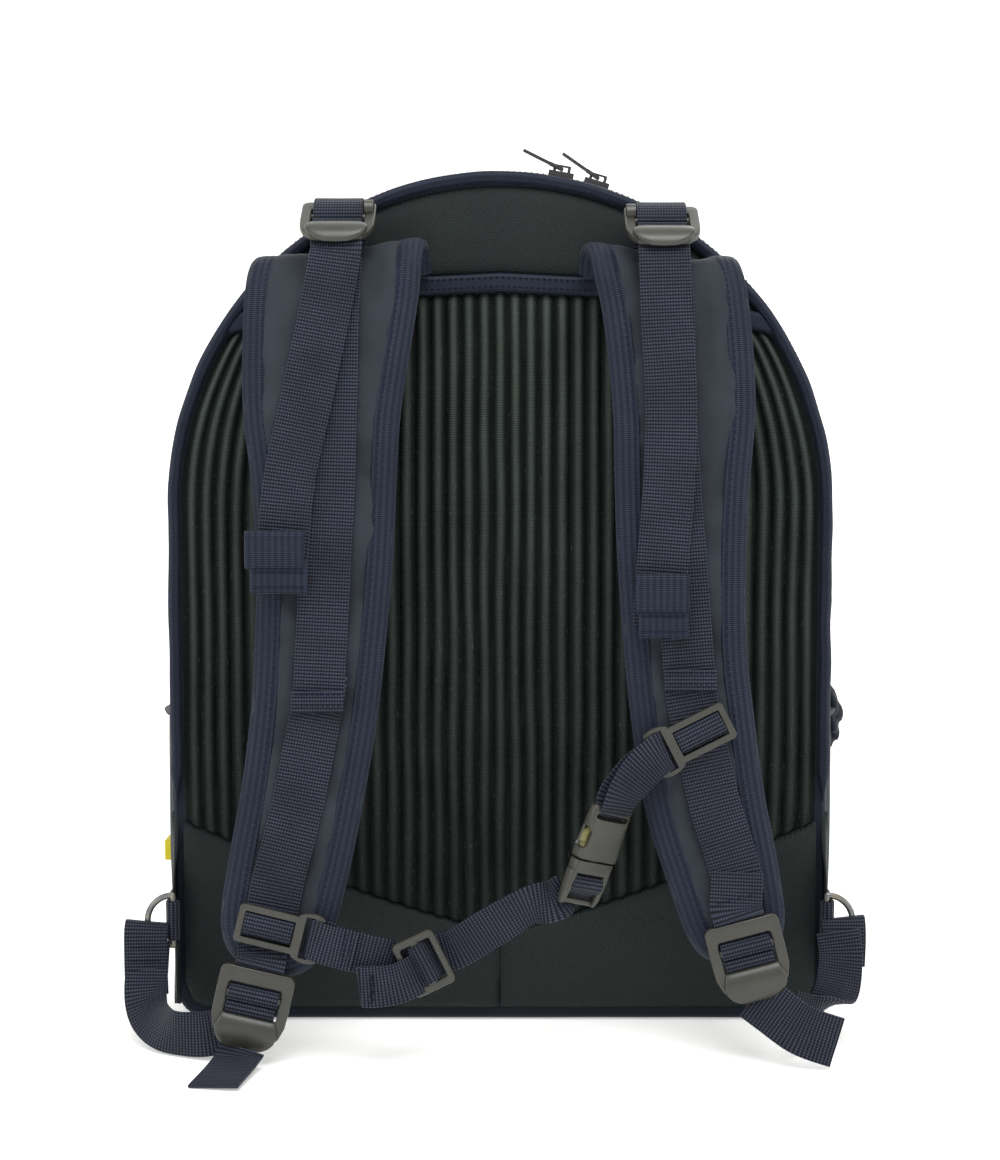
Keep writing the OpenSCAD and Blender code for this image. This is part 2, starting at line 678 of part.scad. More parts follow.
sternum_left_route = [[-81, -149, 59.5], [-72, -152, 57], [-60, -155.5, 54], [-48, -157, 50], [-37, -157, 49],
                      [-20, -155.5, 58], [-2, -152, 71], [14, -149, 79], [26, -146.5, 81]];
sternum_left_side = concat(same([0.1, 0, 1], [0, 0, 0]), same([-0.4, 0, 1], [0, 0, 0, 0]),
                           [[-0.3, -0.2, 1], [-0.5, 0.4, 1]]);
module sternum_webbing_left() { color(navy) webbing(sternum_left_route, sternum_left_side, sternum_w, n = 3); }

sternum_right_route = [[56, -144, 130], [60, -146, 135], [66, -146.5, 141], [70, -146, 146]];
module sternum_webbing_right() {
    color(navy) webbing(sternum_right_route, same([0.6, 0.3, -0.6], sternum_right_route), sternum_w, n = 3);
}

// The lower webbing hangs from the D-rings at the sides and ends behind the ladder locks
lower_w = 22;
lower_left_route = [[-ring_x - 12, -93, 50], [-ring_x - 12.5, -95, 34], [-ring_x - 12, -104, 20], [-174, -118, 13.5],
                    [-163, -133, 12], [-148, -139.5, 12.5], [-137, -140.5, 14.5]];
lower_left_side = [[1, 0, 0], [1, 0, 0], [1, -0.1, 0.2], [0.8, -0.4, 0.5], [0.5, -0.3, 0.9], [0.2, 0.1, 1],
                   [0.1, 0.2, 1]];
module lower_webbing_left() { color(navy) webbing(lower_left_route, lower_left_side, lower_w, n = 3); }

left_tail_end = [[-127, -152.5, 6], [-129, -160, 4], [-132, -172, 2.4], [-135, -187, 1.8]];
module lower_tail_left() { color(navy) webbing(left_tail_end, same([1, -0.3, 0.05], left_tail_end), n = 3); }

lower_right_route = [[ring_x + 4, -99, 56], [ring_x + 5, -103, 40], [168, -118, 26], [155, -133, 20], [143, -141, 24]];
lower_right_side = [[1, 0, 0], [1, 0, 0], [1, 0.3, 0.3], [0.6, 0.3, 0.8], [0.3, 0.2, 1]];
module lower_webbing_right() { color(navy) webbing(lower_right_route, lower_right_side, lower_w, n = 3); }

right_tail_end = [[127, -151, 30], [132, -154, 27], [146, -157, 19], [163, -158, 14]];
module lower_tail_right() { color(navy) webbing(right_tail_end, same([0.45, 0, 1], right_tail_end), n = 3); }

main_shell();
front_panel();
base_board();
frame_sheet();
back_foam();
back_mesh();
yoke_panel();
top_binding();
lower_back_panel();
edge_piping();
zip_tape();
zip_slider_left();
zip_slider_right();
zip_pull_left();
zip_pull_right();
front_pocket();
solar_bezel();
solar_backing();
solar_cells();
solar_film();
junction_box();
panel_lead();
power_bank();
usb_lead();
usb_port();
laptop_sleeve();
side_pocket_left();
side_pocket_right();
side_tab();
wing_left();
wing_right();
ring_tab_left();
ring_tab_right();
d_ring_left();
d_ring_right();
shoulder_pad_left();
shoulder_pad_right();
rail_webbing_left();
rail_webbing_right();
lifter_anchor_left();
lifter_anchor_right();
lifter_lock_left();
lifter_lock_right();
lifter_tail_left();
lifter_tail_right();
sternum_slider_left();
sternum_slider_right();
sternum_webbing_left();
sternum_webbing_right();
sternum_triglide();
buckle_female();
buckle_male();
buckle_prong_left();
buckle_prong_right();
strap_lock_left();
strap_lock_right();
lower_webbing_left();
lower_webbing_right();
lower_tail_left();
lower_tail_right();
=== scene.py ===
# %% [markdown]
# # A solar day pack, dressed for its portrait
# The pack's hard design is already settled: its pieces, sizes, joints and places come packed as a fixed
# frame. This lesson sews the looks around that frame, piece by piece, in Blender's metres. Cloth and
# webbing are built as lofted meshes, moulded plastic as bevelled outlines, and every finish is a small
# node graph written as arithmetic.

# %% Load the frame
import math
import bmesh
import bpy
import numpy as np
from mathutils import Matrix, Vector, noise


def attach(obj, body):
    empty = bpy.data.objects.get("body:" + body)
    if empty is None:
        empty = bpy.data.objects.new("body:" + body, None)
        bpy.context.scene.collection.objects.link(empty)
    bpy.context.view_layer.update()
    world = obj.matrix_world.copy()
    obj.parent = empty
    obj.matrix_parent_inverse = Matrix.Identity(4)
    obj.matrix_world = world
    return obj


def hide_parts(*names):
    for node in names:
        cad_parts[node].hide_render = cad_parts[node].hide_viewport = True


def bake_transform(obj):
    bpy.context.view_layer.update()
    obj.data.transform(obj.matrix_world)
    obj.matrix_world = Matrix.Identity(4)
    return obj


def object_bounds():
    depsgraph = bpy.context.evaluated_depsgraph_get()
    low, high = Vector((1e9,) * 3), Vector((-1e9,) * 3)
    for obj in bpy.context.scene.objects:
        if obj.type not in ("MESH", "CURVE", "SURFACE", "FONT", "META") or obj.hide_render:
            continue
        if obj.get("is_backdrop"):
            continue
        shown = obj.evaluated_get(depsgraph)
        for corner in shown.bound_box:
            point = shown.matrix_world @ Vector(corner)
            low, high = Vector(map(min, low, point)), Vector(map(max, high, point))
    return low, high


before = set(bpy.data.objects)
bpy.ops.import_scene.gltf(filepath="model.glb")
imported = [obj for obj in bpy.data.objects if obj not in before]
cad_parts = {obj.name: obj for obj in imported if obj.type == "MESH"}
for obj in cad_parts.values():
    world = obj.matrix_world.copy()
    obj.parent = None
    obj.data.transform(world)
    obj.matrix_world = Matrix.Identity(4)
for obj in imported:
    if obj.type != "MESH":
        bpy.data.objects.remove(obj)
cad_low, cad_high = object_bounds()
MM = 0.001

# %% [markdown]
# ## Camera, floor and light
# The camera comes first, because every later choice is judged through it. It stands 1.18 m in front of
# the harness side, a little above the middle, and tips down by five degrees. The light is a plain white
# room: a large soft panel above, a weaker one on each side and a bright even world, so that dark cloth
# still shows its folds. The floor curves up behind the pack, which leaves no horizon line.

# %% Camera
scene = bpy.context.scene
camera_data = bpy.data.cameras.new("camera")
camera_data.sensor_width = 36
camera_data.lens = 67.13
camera = bpy.data.objects.new("camera", camera_data)
camera.location = (0, -1.18, 0.328)
camera.rotation_euler = (math.radians(90 - 5), 0, 0)
scene.collection.objects.link(camera)
scene.camera = camera
scene.view_settings.view_transform = "Standard"

# %% Light
world = bpy.data.worlds.new("room")
world.use_nodes = True
world.node_tree.nodes["Background"].inputs["Color"].default_value = (1, 1, 1, 1)
world.node_tree.nodes["Background"].inputs["Strength"].default_value = 0.85
scene.world = world


def soft_panel(name, place, aim, size, watts):
    """A square studio light that points at a place."""
    data = bpy.data.lights.new(name, "AREA")
    data.shape, data.size, data.energy = "SQUARE", size, watts
    light = bpy.data.objects.new(name, data)
    light.visible_camera = False
    light.location = place
    light.rotation_euler = (Vector(aim) - Vector(place)).to_track_quat("-Z", "Y").to_euler()
    scene.collection.objects.link(light)
    return light


pack_middle = (cad_low + cad_high) / 2
soft_panel("light_above", (0.1, -0.75, 1.5), pack_middle, 0.9, 16)
soft_panel("light_left", (-1.4, -0.9, 0.8), pack_middle, 0.8, 7)
soft_panel("light_right", (1.5, -0.5, 0.7), pack_middle, 0.8, 5)
soft_panel("light_behind", (0.3, 1.6, 1.2), pack_middle, 1.2, 12)

# %% [markdown]
# ## Shader arithmetic
# A finish is a formula: this much dark yarn, that much light yarn, a groove every so many millimetres.
# Wiring it by hand hides the formula, so one class wraps a socket and turns +, -, * and / into Math
# nodes. A second class owns the material and adds any other node through a single method.

# %% Sockets and finishes
class Socket:
    """One output socket of a finish. Arithmetic on it adds the Math nodes that work it out."""

    def __init__(self, finish, socket):
        self.finish, self.socket = finish, socket

    def math(self, operation, a, b=0.0):
        return self.finish.node("Math", {"operation": operation}, {0: a, 1: b})

    def __add__(self, other): return self.math("ADD", self, other)
    def __radd__(self, other): return self.math("ADD", other, self)
    def __sub__(self, other): return self.math("SUBTRACT", self, other)
    def __rsub__(self, other): return self.math("SUBTRACT", other, self)
    def __mul__(self, other): return self.math("MULTIPLY", self, other)
    def __rmul__(self, other): return self.math("MULTIPLY", other, self)
    def __truediv__(self, other): return self.math("DIVIDE", self, other)
    def __pow__(self, other): return self.math("POWER", self, other)

    def wave(self, pitch, phase=0.0):
        """0 to 1 and back once in every pitch."""
        return self.math("SINE", self * (2 * math.pi / pitch) + phase) * 0.5 + 0.5

    def over(self, limit):
        """1 where the value is over the limit."""
        return self.math("GREATER_THAN", self, limit)


class Finish:
    """A material with one Principled shader. Constants are set on the shader's own sockets."""

    def __init__(self, name, **constants):
        self.material = bpy.data.materials.new(name)
        self.material.use_nodes = True
        self.tree = self.material.node_tree
        self.shader = self.tree.nodes["Principled BSDF"]
        for key, value in constants.items():
            self.shader.inputs[key.replace("_", " ").title().replace("Ior", "IOR")].default_value = value

    def node(self, kind, settings=None, sockets=None, out=0):
        """Adds a node: its settings first, then the values or links of its sockets."""
        node = self.tree.nodes.new("ShaderNode" + kind)
        for key, value in (settings or {}).items():
            if key == "stops":
                for stop, (place, colour) in zip(node.color_ramp.elements, value):
                    stop.position, stop.color = place, colour
            else:
                setattr(node, key, value)
        for key, value in (sockets or {}).items():
            if isinstance(value, Socket):
                self.tree.links.new(value.socket, node.inputs[key])
            else:
                node.inputs[key].default_value = value
        return Socket(self, node.outputs[out])

    def place(self):
        """x, y and z of the surface in millimetres."""
        at = self.node("TexCoord", out="Object")
        far = self.node("VectorMath", {"operation": "SCALE"}, {0: at, "Scale": 1 / MM})
        split = self.node("SeparateXYZ", sockets={0: far})
        return [Socket(self, split.socket.node.outputs[i]) for i in range(3)] + [far]

    def weave(self):
        """Millimetres across and along a strip, from the strip's own map."""
        at = self.node("UVMap", {"uv_map": "weave"})
        split = self.node("SeparateXYZ", sockets={0: at})
        return [Socket(self, split.socket.node.outputs[i]) / MM for i in range(2)]

    def noise(self, vector, size, detail=3.0):
        """Soft random patches about size millimetres wide, 0 to 1."""
        return self.node("TexNoise", sockets={"Vector": vector, "Scale": 1 / size, "Detail": detail})

    def blend(self, factor, first, second):
        """The first colour where factor is 0, and the second where it is 1."""
        return self.node("Mix", {"data_type": "RGBA"}, {0: factor, 6: first, 7: second}, out=2)

    def wear(self, colour=None, roughness=None, height=None, depth=0.0003):
        """Links what varies over the surface to the shader."""
        for key, value in (("Base Color", colour), ("Roughness", roughness)):
            if value is not None:
                self.tree.links.new(value.socket, self.shader.inputs[key])
        if height is not None:
            bump = self.node("Bump", sockets={"Distance": depth, "Height": height})
            self.tree.links.new(bump.socket, self.shader.inputs["Normal"])
        return self.material


def shade(code):
    """A colour written as #rrggbb, as the linear colour that nodes work in."""
    parts = [int(code[i:i + 2], 16) / 255 for i in (1, 3, 5)]
    return tuple(c / 12.92 if c <= 0.04045 else ((c + 0.055) / 1.055) ** 2.4 for c in parts) + (1.0,)


finishes = {}

# %% [markdown]
# ## Webbing and binding
# Nylon webbing is woven with heavy cords along it and fine ribs across it, so it glitters in small
# dashes. The finish paints that glitter into the colour: the lighter dashes are the weave's pattern with a
# painted glint on the raised cords, and slow patches of painted sheen brighten and dim them. Both
# directions are waves on the strip's own map, which keeps the ribs square to the strap however it bends.
# The binding tape is a finer twill of the same navy yarns.

# %% Webbing, binding and thread
def woven(name, dark, light, cord, rib, rough, depth, sheen_size=26.0):
    """A woven strip: cords along it, ribs across it, lighter dashes with a painted glint, and slow patches of painted
    sheen.
    """
    finish = Finish(name, sheen_weight=0.05, sheen_roughness=0.4, specular_ior_level=0.12)
    across, along = finish.weave()
    x, y, z, far = finish.place()
    cords, ribs = across.wave(cord), along.wave(rib)
    dashes = ribs * (cords * 0.75 + 0.25)
    painted_sheen = finish.noise(far, sheen_size)
    # Painted sheen: slow patches brighten and dim the lighter dashes, which carry a painted glint on the weave.
    yarn_and_sheen = dashes * (painted_sheen * 0.9 + 0.25)
    colour = finish.blend(yarn_and_sheen, shade(dark), shade(light))
    return finish.wear(colour, rough - dashes * 0.12, dashes, depth)


finishes["navy_webbing"] = woven("navy_webbing", "#06080e", "#484d60", 1.35, 1.7, 0.58, 0.00035)
finishes["binding"] = woven("binding", "#10141f", "#323a4c", 3.2, 1.0, 0.55, 0.00016, 40.0)


def thread(name, colour):
    finish = Finish(name, specular_ior_level=0.1)
    x, y, z, far = finish.place()
    twist = (x + z).wave(0.7)
    return finish.wear(finish.blend(twist, shade(colour), shade("#0d1220")), None, twist, 0.0001)


finishes["thread"] = thread("thread", "#1c2338")
finishes["dark_thread"] = thread("dark_thread", "#10141f")

# %% [markdown]
# ## Cloth finishes
# The yoke and the lower back are a coated cloth with a fine pressed grain that runs both ways on the
# diagonal. The rest of the bag is a plain tight weave, almost black. The ribbed panel is a knitted mesh
# with short cross yarns and a few bright filaments; the crest of each rib carries a painted highlight that
# grows brighter towards the top. The middle of each strap is a smooth brushed cloth.

# %% Grained cloth, body cloth, mesh and strap cloth
def grained_cloth():
    finish = Finish("grained_fabric", specular_ior_level=0.16)
    x, y, z, far = finish.place()
    rise, fall = (x + y + z).wave(1.5), (x + y - z).wave(1.5)
    grain = rise * fall
    soft = finish.noise(far, 60)
    colour = finish.blend(grain * 0.6 + soft * 0.4, shade("#0b1012"), shade("#252d2b"))
    return finish.wear(colour, 0.44 + soft * 0.14 - grain * 0.06, grain, 0.00022)


def body_cloth():
    finish = Finish("body_fabric", specular_ior_level=0.1, sheen_weight=0.02)
    x, y, z, far = finish.place()
    weft, warp = (z + y * 0.4).wave(0.9), (x + y).wave(0.9)
    soft = finish.noise(far, 45)
    colour = finish.blend(weft * warp * 0.5 + soft * 0.5, shade("#0d1118"), shade("#232a36"))
    return finish.wear(colour, 0.62 - weft * 0.08, weft * warp, 0.00012)


RIB = 7.9


def mesh_cloth():
    finish = Finish("mesh", specular_ior_level=0.05)
    x, y, z, far = finish.place()
    knit = z.wave(1.15) * (0.35 + x.wave(0.95) * 0.65)
    short_yarns = finish.node("VectorMath", {"operation": "MULTIPLY"}, {0: far, 1: (1.6, 0.6, 0.22)})
    specks = finish.noise(short_yarns, 1.0, 1.0)
    bright = (specks - 0.67) * 7.0
    bright = bright.math("MAXIMUM", bright, 0.0)
    slow = finish.noise(far, 38)
    across, _ = finish.weave()
    # Painted highlight: each rib's crest is painted lighter, and more so towards the top, where light falls from above.
    crest_highlight = across.wave(RIB, math.pi / 2) ** 2.0
    painted_top_light = (z - 130.0) * 0.0042
    yarn_and_sheen = (knit * 0.3 + slow * 0.3 + 0.1) * (crest_highlight * (painted_top_light + 0.7) + 0.25) + bright * 0.4
    colour = finish.blend(yarn_and_sheen, shade("#030505"), shade("#484f4b"))
    return finish.wear(colour, 0.78 - bright * 0.25, knit * 0.7 + bright * 0.3, 0.0003)


def strap_cloth():
    finish = Finish("pad_fabric", specular_ior_level=0.12, sheen_weight=0.04, sheen_roughness=0.4)
    x, y, z, far = finish.place()
    fine = (x + z).wave(0.8) * (x - z).wave(0.8)
    slow = finish.noise(far, 30)
    colour = finish.blend(slow * 0.7 + fine * 0.25, shade("#181c22"), shade("#3a4048"))
    return finish.wear(colour, 0.56 + slow * 0.1, fine, 0.00008)


def bright_cloth():
    finish = Finish("yellow_fabric")
    x, y, z, far = finish.place()
    weave = y.wave(1.0) * z.wave(1.0)
    return finish.wear(finish.blend(weave, shade("#c9b800"), shade("#f4e72a")), 0.6 - weave * 0.1, weave, 0.0002)


finishes["grained_fabric"] = grained_cloth()
finishes["body_fabric"] = body_cloth()
finishes["mesh"] = mesh_cloth()
finishes["pad_fabric"] = strap_cloth()
finishes["yellow_fabric"] = bright_cloth()

# %% [markdown]
# ## Plastic, metal and the things inside
# The buckles are moulded acetal with a satin, faintly warm surface, polished a little where webbing
# rubs it. The buckle prongs carry a painted highlight: the whole part is a lighter gold-olive. The rings
# are plated wire. The electronics get honest simple finishes: a clear top film,
# dark cells with printed silver fingers, a painted case and black cable.

# %% Hard finishes
def moulded(name, dark, light, rough):
    finish = Finish(name, specular_ior_level=0.55)
    x, y, z, far = finish.place()
    spark = finish.noise(far, 0.35, 2.0)
    rubbed = finish.noise(far, 9.0)
    colour = finish.blend(rubbed, shade(dark), shade(light))
    return finish.wear(colour, rough + rubbed * 0.1 + spark * 0.05, spark, 0.00005)


def plated_wire():
    finish = Finish("gunmetal", metallic=0.95)
    x, y, z, far = finish.place()
    worn = finish.noise(far, 5.0, 4.0)
    fine = finish.noise(far, 0.5)
    colour = finish.blend((worn - 0.45) * 2.2, shade("#6d6f72"), shade("#a3946f"))
    return finish.wear(colour, 0.24 + fine * 0.2, fine, 0.00003)


def silicon_cells():
    finish = Finish("solar_cell", coat_weight=0.4, coat_roughness=0.08, specular_ior_level=0.6)
    x, y, z, far = finish.place()
    fingers = (x.wave(1.6) - 0.93) * 14.0
    fingers = fingers.math("MAXIMUM", fingers, 0.0)
    slow = finish.noise(far, 25)
    silicon = finish.blend(slow, shade("#0b1330"), shade("#1a2a58"))
    return finish.wear(finish.blend(fingers * 0.25, silicon, shade("#8f97a5")), 0.3 + slow * 0.08)


def clear_film():
    finish = Finish("clear_film", alpha=0.06, roughness=0.08, specular_ior_level=0.35)
    x, y, z, far = finish.place()
    ripple = finish.noise(far, 22.0)
    return finish.wear(finish.blend(ripple, shade("#8a97a8"), shade("#a9b4c2")), 0.06 + ripple * 0.08, ripple, 0.0003)


def grainy(name, dark, light, size, rough, **constants):
    """A plain finish for what is inside: two close shades in grains of one size."""
    finish = Finish(name, **constants)
    x, y, z, far = finish.place()
    grain = finish.noise(far, size)
    return finish.wear(finish.blend(grain, shade(dark), shade(light)), rough + grain * 0.1, grain, 0.0002)


finishes["hardware_plastic"] = moulded("hardware_plastic", "#1e1e1a", "#34332c", 0.3)
finishes["dark_plastic"] = moulded("dark_plastic", "#16171a", "#25262a", 0.34)
finishes["gunmetal"] = plated_wire()
finishes["solar_cell"] = silicon_cells()
finishes["clear_film"] = clear_film()
finishes["foam"] = grainy("foam", "#2d2f33", "#4a4d52", 1.2, 0.85)
finishes["board"] = grainy("board", "#1b1c1f", "#2b2d31", 4.0, 0.5)
finishes["power_case"] = grainy("power_case", "#8b8f95", "#a9adb3", 0.6, 0.32, metallic=0.6)
finishes["cable"] = grainy("cable", "#0d0e10", "#1c1d20", 1.5, 0.45)
# Painted highlight: the buckle prongs are painted a lighter gold-olive all over than the other mouldings.
finishes["prong_highlight_plastic"] = moulded("prong_highlight_plastic", "#4c4b2c", "#85824e", 0.28)
print("finishes:", ", ".join(sorted(finishes)))

# %% [markdown]
# ## Lofting
# Nearly everything soft on a pack is a cross-section that travels: webbing, piping, padded straps, even
# the bag's own sides. So one function joins a row of rings into a closed mesh and writes the strip's
# map, in metres across and along, that the woven finishes read.

# %% From rings to a piece
def add_piece(name, mesh, finish, body=None, stands_for=(), sharp=40.0):
    """Makes an object of a mesh, tidies its normals, and lets it ride on a CAD body."""
    work = bmesh.new()
    work.from_mesh(mesh)
    bmesh.ops.remove_doubles(work, verts=work.verts, dist=1e-6)
    bmesh.ops.recalc_face_normals(work, faces=work.faces)
    work.to_mesh(mesh)
    work.free()
    mesh.polygons.foreach_set("use_smooth", [True] * len(mesh.polygons))
    mesh.set_sharp_from_angle(angle=math.radians(sharp))
    piece = bpy.data.objects.new(name, mesh)
    scene.collection.objects.link(piece)
    mesh.materials.append(finishes[finish])
    if body:
        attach(piece, body)
    if stands_for:
        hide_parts(*stands_for)
    return piece


def new_mesh(name, verts, faces, weave=None):
    """A mesh from millimetres. weave gives each vertex its place across and along, in millimetres."""
    mesh = bpy.data.meshes.new(name)
    mesh.from_pydata((np.asarray(verts, float) * MM).tolist(), [], faces)
    if weave is not None:
        layer = mesh.uv_layers.new(name="weave")
        corner = np.zeros(len(mesh.loops), np.int32)
        mesh.loops.foreach_get("vertex_index", corner)
        layer.data.foreach_set("uv", (np.asarray(weave, float) * MM)[corner].astype(np.float32).ravel())
    return mesh


def loft_faces(count, size, closed=True, caps=True, base=0):
    """Faces that join count rings of size points."""
    last = size if closed else size - 1
    faces = [(base + i * size + k, base + i * size + (k + 1) % size,
              base + (i + 1) * size + (k + 1) % size, base + (i + 1) * size + k)
             for i in range(count - 1) for k in range(last)]
    if caps:
        faces.append(tuple(base + k for k in reversed(range(size))))
        faces.append(tuple(base + (count - 1) * size + k for k in range(size)))
    return faces


def loft_mesh(name, rings, caps=True, across=None):
    """A closed tube through rings, shaped (count, size, 3), in millimetres."""
    rings = np.asarray(rings, float)
    count, size = rings.shape[:2]
    middle = rings.mean(axis=1)
    along = np.r_[0, np.cumsum(np.linalg.norm(np.diff(middle, axis=0), axis=1))]
    if across is None:
        step = np.linalg.norm(np.diff(rings, axis=1), axis=2).mean(axis=0)
        across = np.r_[0, np.cumsum(step)]
    weave = np.stack(np.broadcast_arrays(np.asarray(across)[None, :], along[:, None]), axis=-1)
    return new_mesh(name, rings.reshape(-1, 3), loft_faces(count, size, True, caps), weave.reshape(-1, 2))


def unit(v):
    return v / np.maximum(np.linalg.norm(v, axis=-1, keepdims=True), 1e-9)


def smooth(points, steps=8):
    """A smooth curve through given points: the same rule that shaped the CAD straps."""
    p = np.array(points, float)
    p = p[:, None] if p.ndim == 1 else p
    q = np.vstack([p[:1], p, p[-1:]])
    t = (np.arange(steps) / steps)[:, None]
    spans = [0.5 * (2 * b + (c - a) * t + (2 * a - 5 * b + 4 * c - d) * t**2 + (3 * b - a - 3 * c + d) * t**3)
             for a, b, c, d in zip(q, q[1:], q[2:], q[3:])]
    return np.vstack(spans + [p[-1:]])


def evenly(step, path, *others):
    """The same path with a point every step millimetres, and other values carried along with it."""
    run = np.r_[0, np.cumsum(np.linalg.norm(np.diff(path, axis=0), axis=1))]
    s = np.linspace(0, run[-1], max(3, int(round(run[-1] / step)) + 1))
    return [s] + [np.stack([np.interp(s, run, column) for column in values.T], axis=1) for values in (path, *others)]


def frames(path, side):
    """Unit vectors along a path, across it and out of its face."""
    along = unit(np.gradient(path, axis=0))
    across = unit(side - (side * along).sum(1, keepdims=True) * along)
    return along, across, np.cross(along, across)


def bumps(points, size, seed=0.0):
    """Soft random heights, -1 to 1, at points in millimetres. The seed moves the pattern."""
    flat = np.asarray(points, float).reshape(-1, 3) / size + seed
    values = [noise.noise(Vector(p)) for p in flat]
    return np.array(values).reshape(np.asarray(points).shape[:-1])

# %% [markdown]
# ## The bag
# Seen from behind, the bag is one outline: straight sides, a half-round top and rounded feet. Each layer
# of the bag is that outline at some inset, so a single function gives evenly matched points at any inset,
# and the main compartment and the front pocket are lofts from the back seam to the front. A filled bag
# swells between its seams and puckers along them, so the loft adds a soft swell and two sizes of wrinkle.

# %% Outline of the bag
BODY_W, BODY_H, CORNER = 340.0, 438.0, 16.0
ARCH_R = BODY_W / 2
ARCH_Z = BODY_H - ARCH_R
BACK_Y, FRONT_Y, POCKET_Y, SOLAR_Y = -70.0, 58.0, 60.0, 84.0


def turn(centre, radius, start, end, count):
    angles = np.radians(np.linspace(start, end, count, endpoint=False))
    return [(centre[0] + radius * math.cos(a), centre[1] + radius * math.sin(a)) for a in angles]


def line(start, end, count):
    return [tuple(np.array(start) + (np.array(end) - start) * i / count) for i in range(count)]


def outline(inset, fine=1):
    """Points round the bag at an inset, from the right foot up over the top and along the base."""
    half, r = ARCH_R - inset, max(3.0, CORNER - inset * 0.5)
    foot = inset + r
    return np.array(line((half, foot), (half, ARCH_Z), 26 * fine)
                    + turn((0, ARCH_Z), half, 0, 180, 72 * fine)
                    + line((-half, ARCH_Z), (-half, foot), 26 * fine)
                    + turn((-half + r, foot), r, 180, 270, 6 * fine)
                    + line((-half + r, inset), (half - r, inset), 34 * fine)
                    + turn((half - r, foot), r, 270, 360, 6 * fine))


def bag_shell(name, layers, finish, stands_for, wrinkle, seed):
    """A closed bag through layers of (y, inset, swell). Its base stays flat, because the bag stands on it."""
    rings = []
    for y, inset, swell in layers:
        flat = outline(inset)
        out = unit(flat - np.array([0, ARCH_Z * 0.75]))
        place = np.column_stack([flat[:, 0], np.full(len(flat), y), flat[:, 1]])
        rough = bumps(place, 34, seed) * wrinkle + bumps(place * (1, 1, 0.35), 11, seed + 7) * wrinkle * 0.35
        lift = (swell + rough) * np.clip(flat[:, 1] / 25, 0, 1)
        place[:, [0, 2]] += out * lift[:, None]
        place[:, 1] += rough * 0.3
        rings.append(place)
    mesh = loft_mesh(name, rings)
    return add_piece(name, mesh, finish, "pack", stands_for)


# %% Main compartment and front pocket
side_layers = [(BACK_Y - 1.0, 5, 0), (BACK_Y - 1.5, 2.5, 0), (BACK_Y, 0.8, 0)]
side_layers += [(y, 0.0, 3.2 * math.sin(math.pi * (y - BACK_Y) / (FRONT_Y - BACK_Y)) ** 0.7)
                for y in np.linspace(BACK_Y + 5, FRONT_Y - 5, 17)]
side_layers += [(FRONT_Y - 1, 0.8, 0), (FRONT_Y + 1, 3, 0), (POCKET_Y, 7, 0), (POCKET_Y + 0.8, 14, 0)]
side_layers += [(POCKET_Y + 1.0 + i * 0.2, 14 + 22 * i, 0) for i in range(1, 5)]
bag = bag_shell("bag_body", side_layers, "body_fabric", ("main_shell", "front_panel"), 1.5, 3.0)

POCKET_INSET = 14.0
pocket_layers = [(POCKET_Y + 0.4, POCKET_INSET + 0.5, 0)]
pocket_layers += [(y, POCKET_INSET, 2.2 * math.sin(math.pi * (y - POCKET_Y) / (SOLAR_Y - POCKET_Y)))
                  for y in np.linspace(POCKET_Y + 2, SOLAR_Y - 4, 6)]
pocket_layers += [(SOLAR_Y - 1.6, POCKET_INSET + 1.2, 0), (SOLAR_Y - 0.4, POCKET_INSET + 4, 0),
                  (SOLAR_Y - 0.1, POCKET_INSET + 8, 0)]
pocket_layers += [(SOLAR_Y - 0.1, POCKET_INSET + 8 + 18 * i, 0) for i in range(1, 5)]
pocket = bag_shell("front_pocket_cloth", pocket_layers, "body_fabric", ("front_pocket",), 1.2, 9.0)
print("bag:", len(bag.data.polygons), "faces; pocket:", len(pocket.data.polygons), "faces")

# %% [markdown]
# ## Padded back
# The side that lies on the wearer is four pads of cloth sewn over foam: the grained yoke, a taped seam,
# the ribbed mesh, and two grained skins that meet at the middle seam. Each is a patch: a grid whose
# columns run up and whose height falls to nothing at its sewn edge. The ribs are real relief, eight
# millimetres apart in the middle, and the outer ones crowd together where the bag narrows to its arch.

# %% Seams of the back
HALF = ARCH_R - 6.0
SEAM_LOW, SEAM_HIGH = 46.0, 104.0
STRAP_SEAM, BINDING_H = 387.0, 8.0
SHOULDER_X = np.array([0, 60, 140, ARCH_R + 5])
SHOULDER_Z = STRAP_SEAM - BINDING_H - np.array([0, 3, 22, 36])


def seam_z(x):
    return SEAM_LOW + (SEAM_HIGH - SEAM_LOW) * (np.abs(x) / HALF) ** 1.25


def shoulder_z(x):
    return np.interp(np.abs(x), SHOULDER_X, SHOULDER_Z)


def half_width(z, inset=6.0):
    """Half the width of the back at a height."""
    r = ARCH_R - inset
    return np.where(z > ARCH_Z, np.sqrt(np.maximum(r * r - (z - ARCH_Z) ** 2, 1.0)), r)


def edge_fall(distance, width):
    """0 at a sewn edge, rising to 1 at width millimetres inside it."""
    t = np.clip(distance / width, 0, 1)
    return np.sqrt(1 - (1 - t) ** 2)


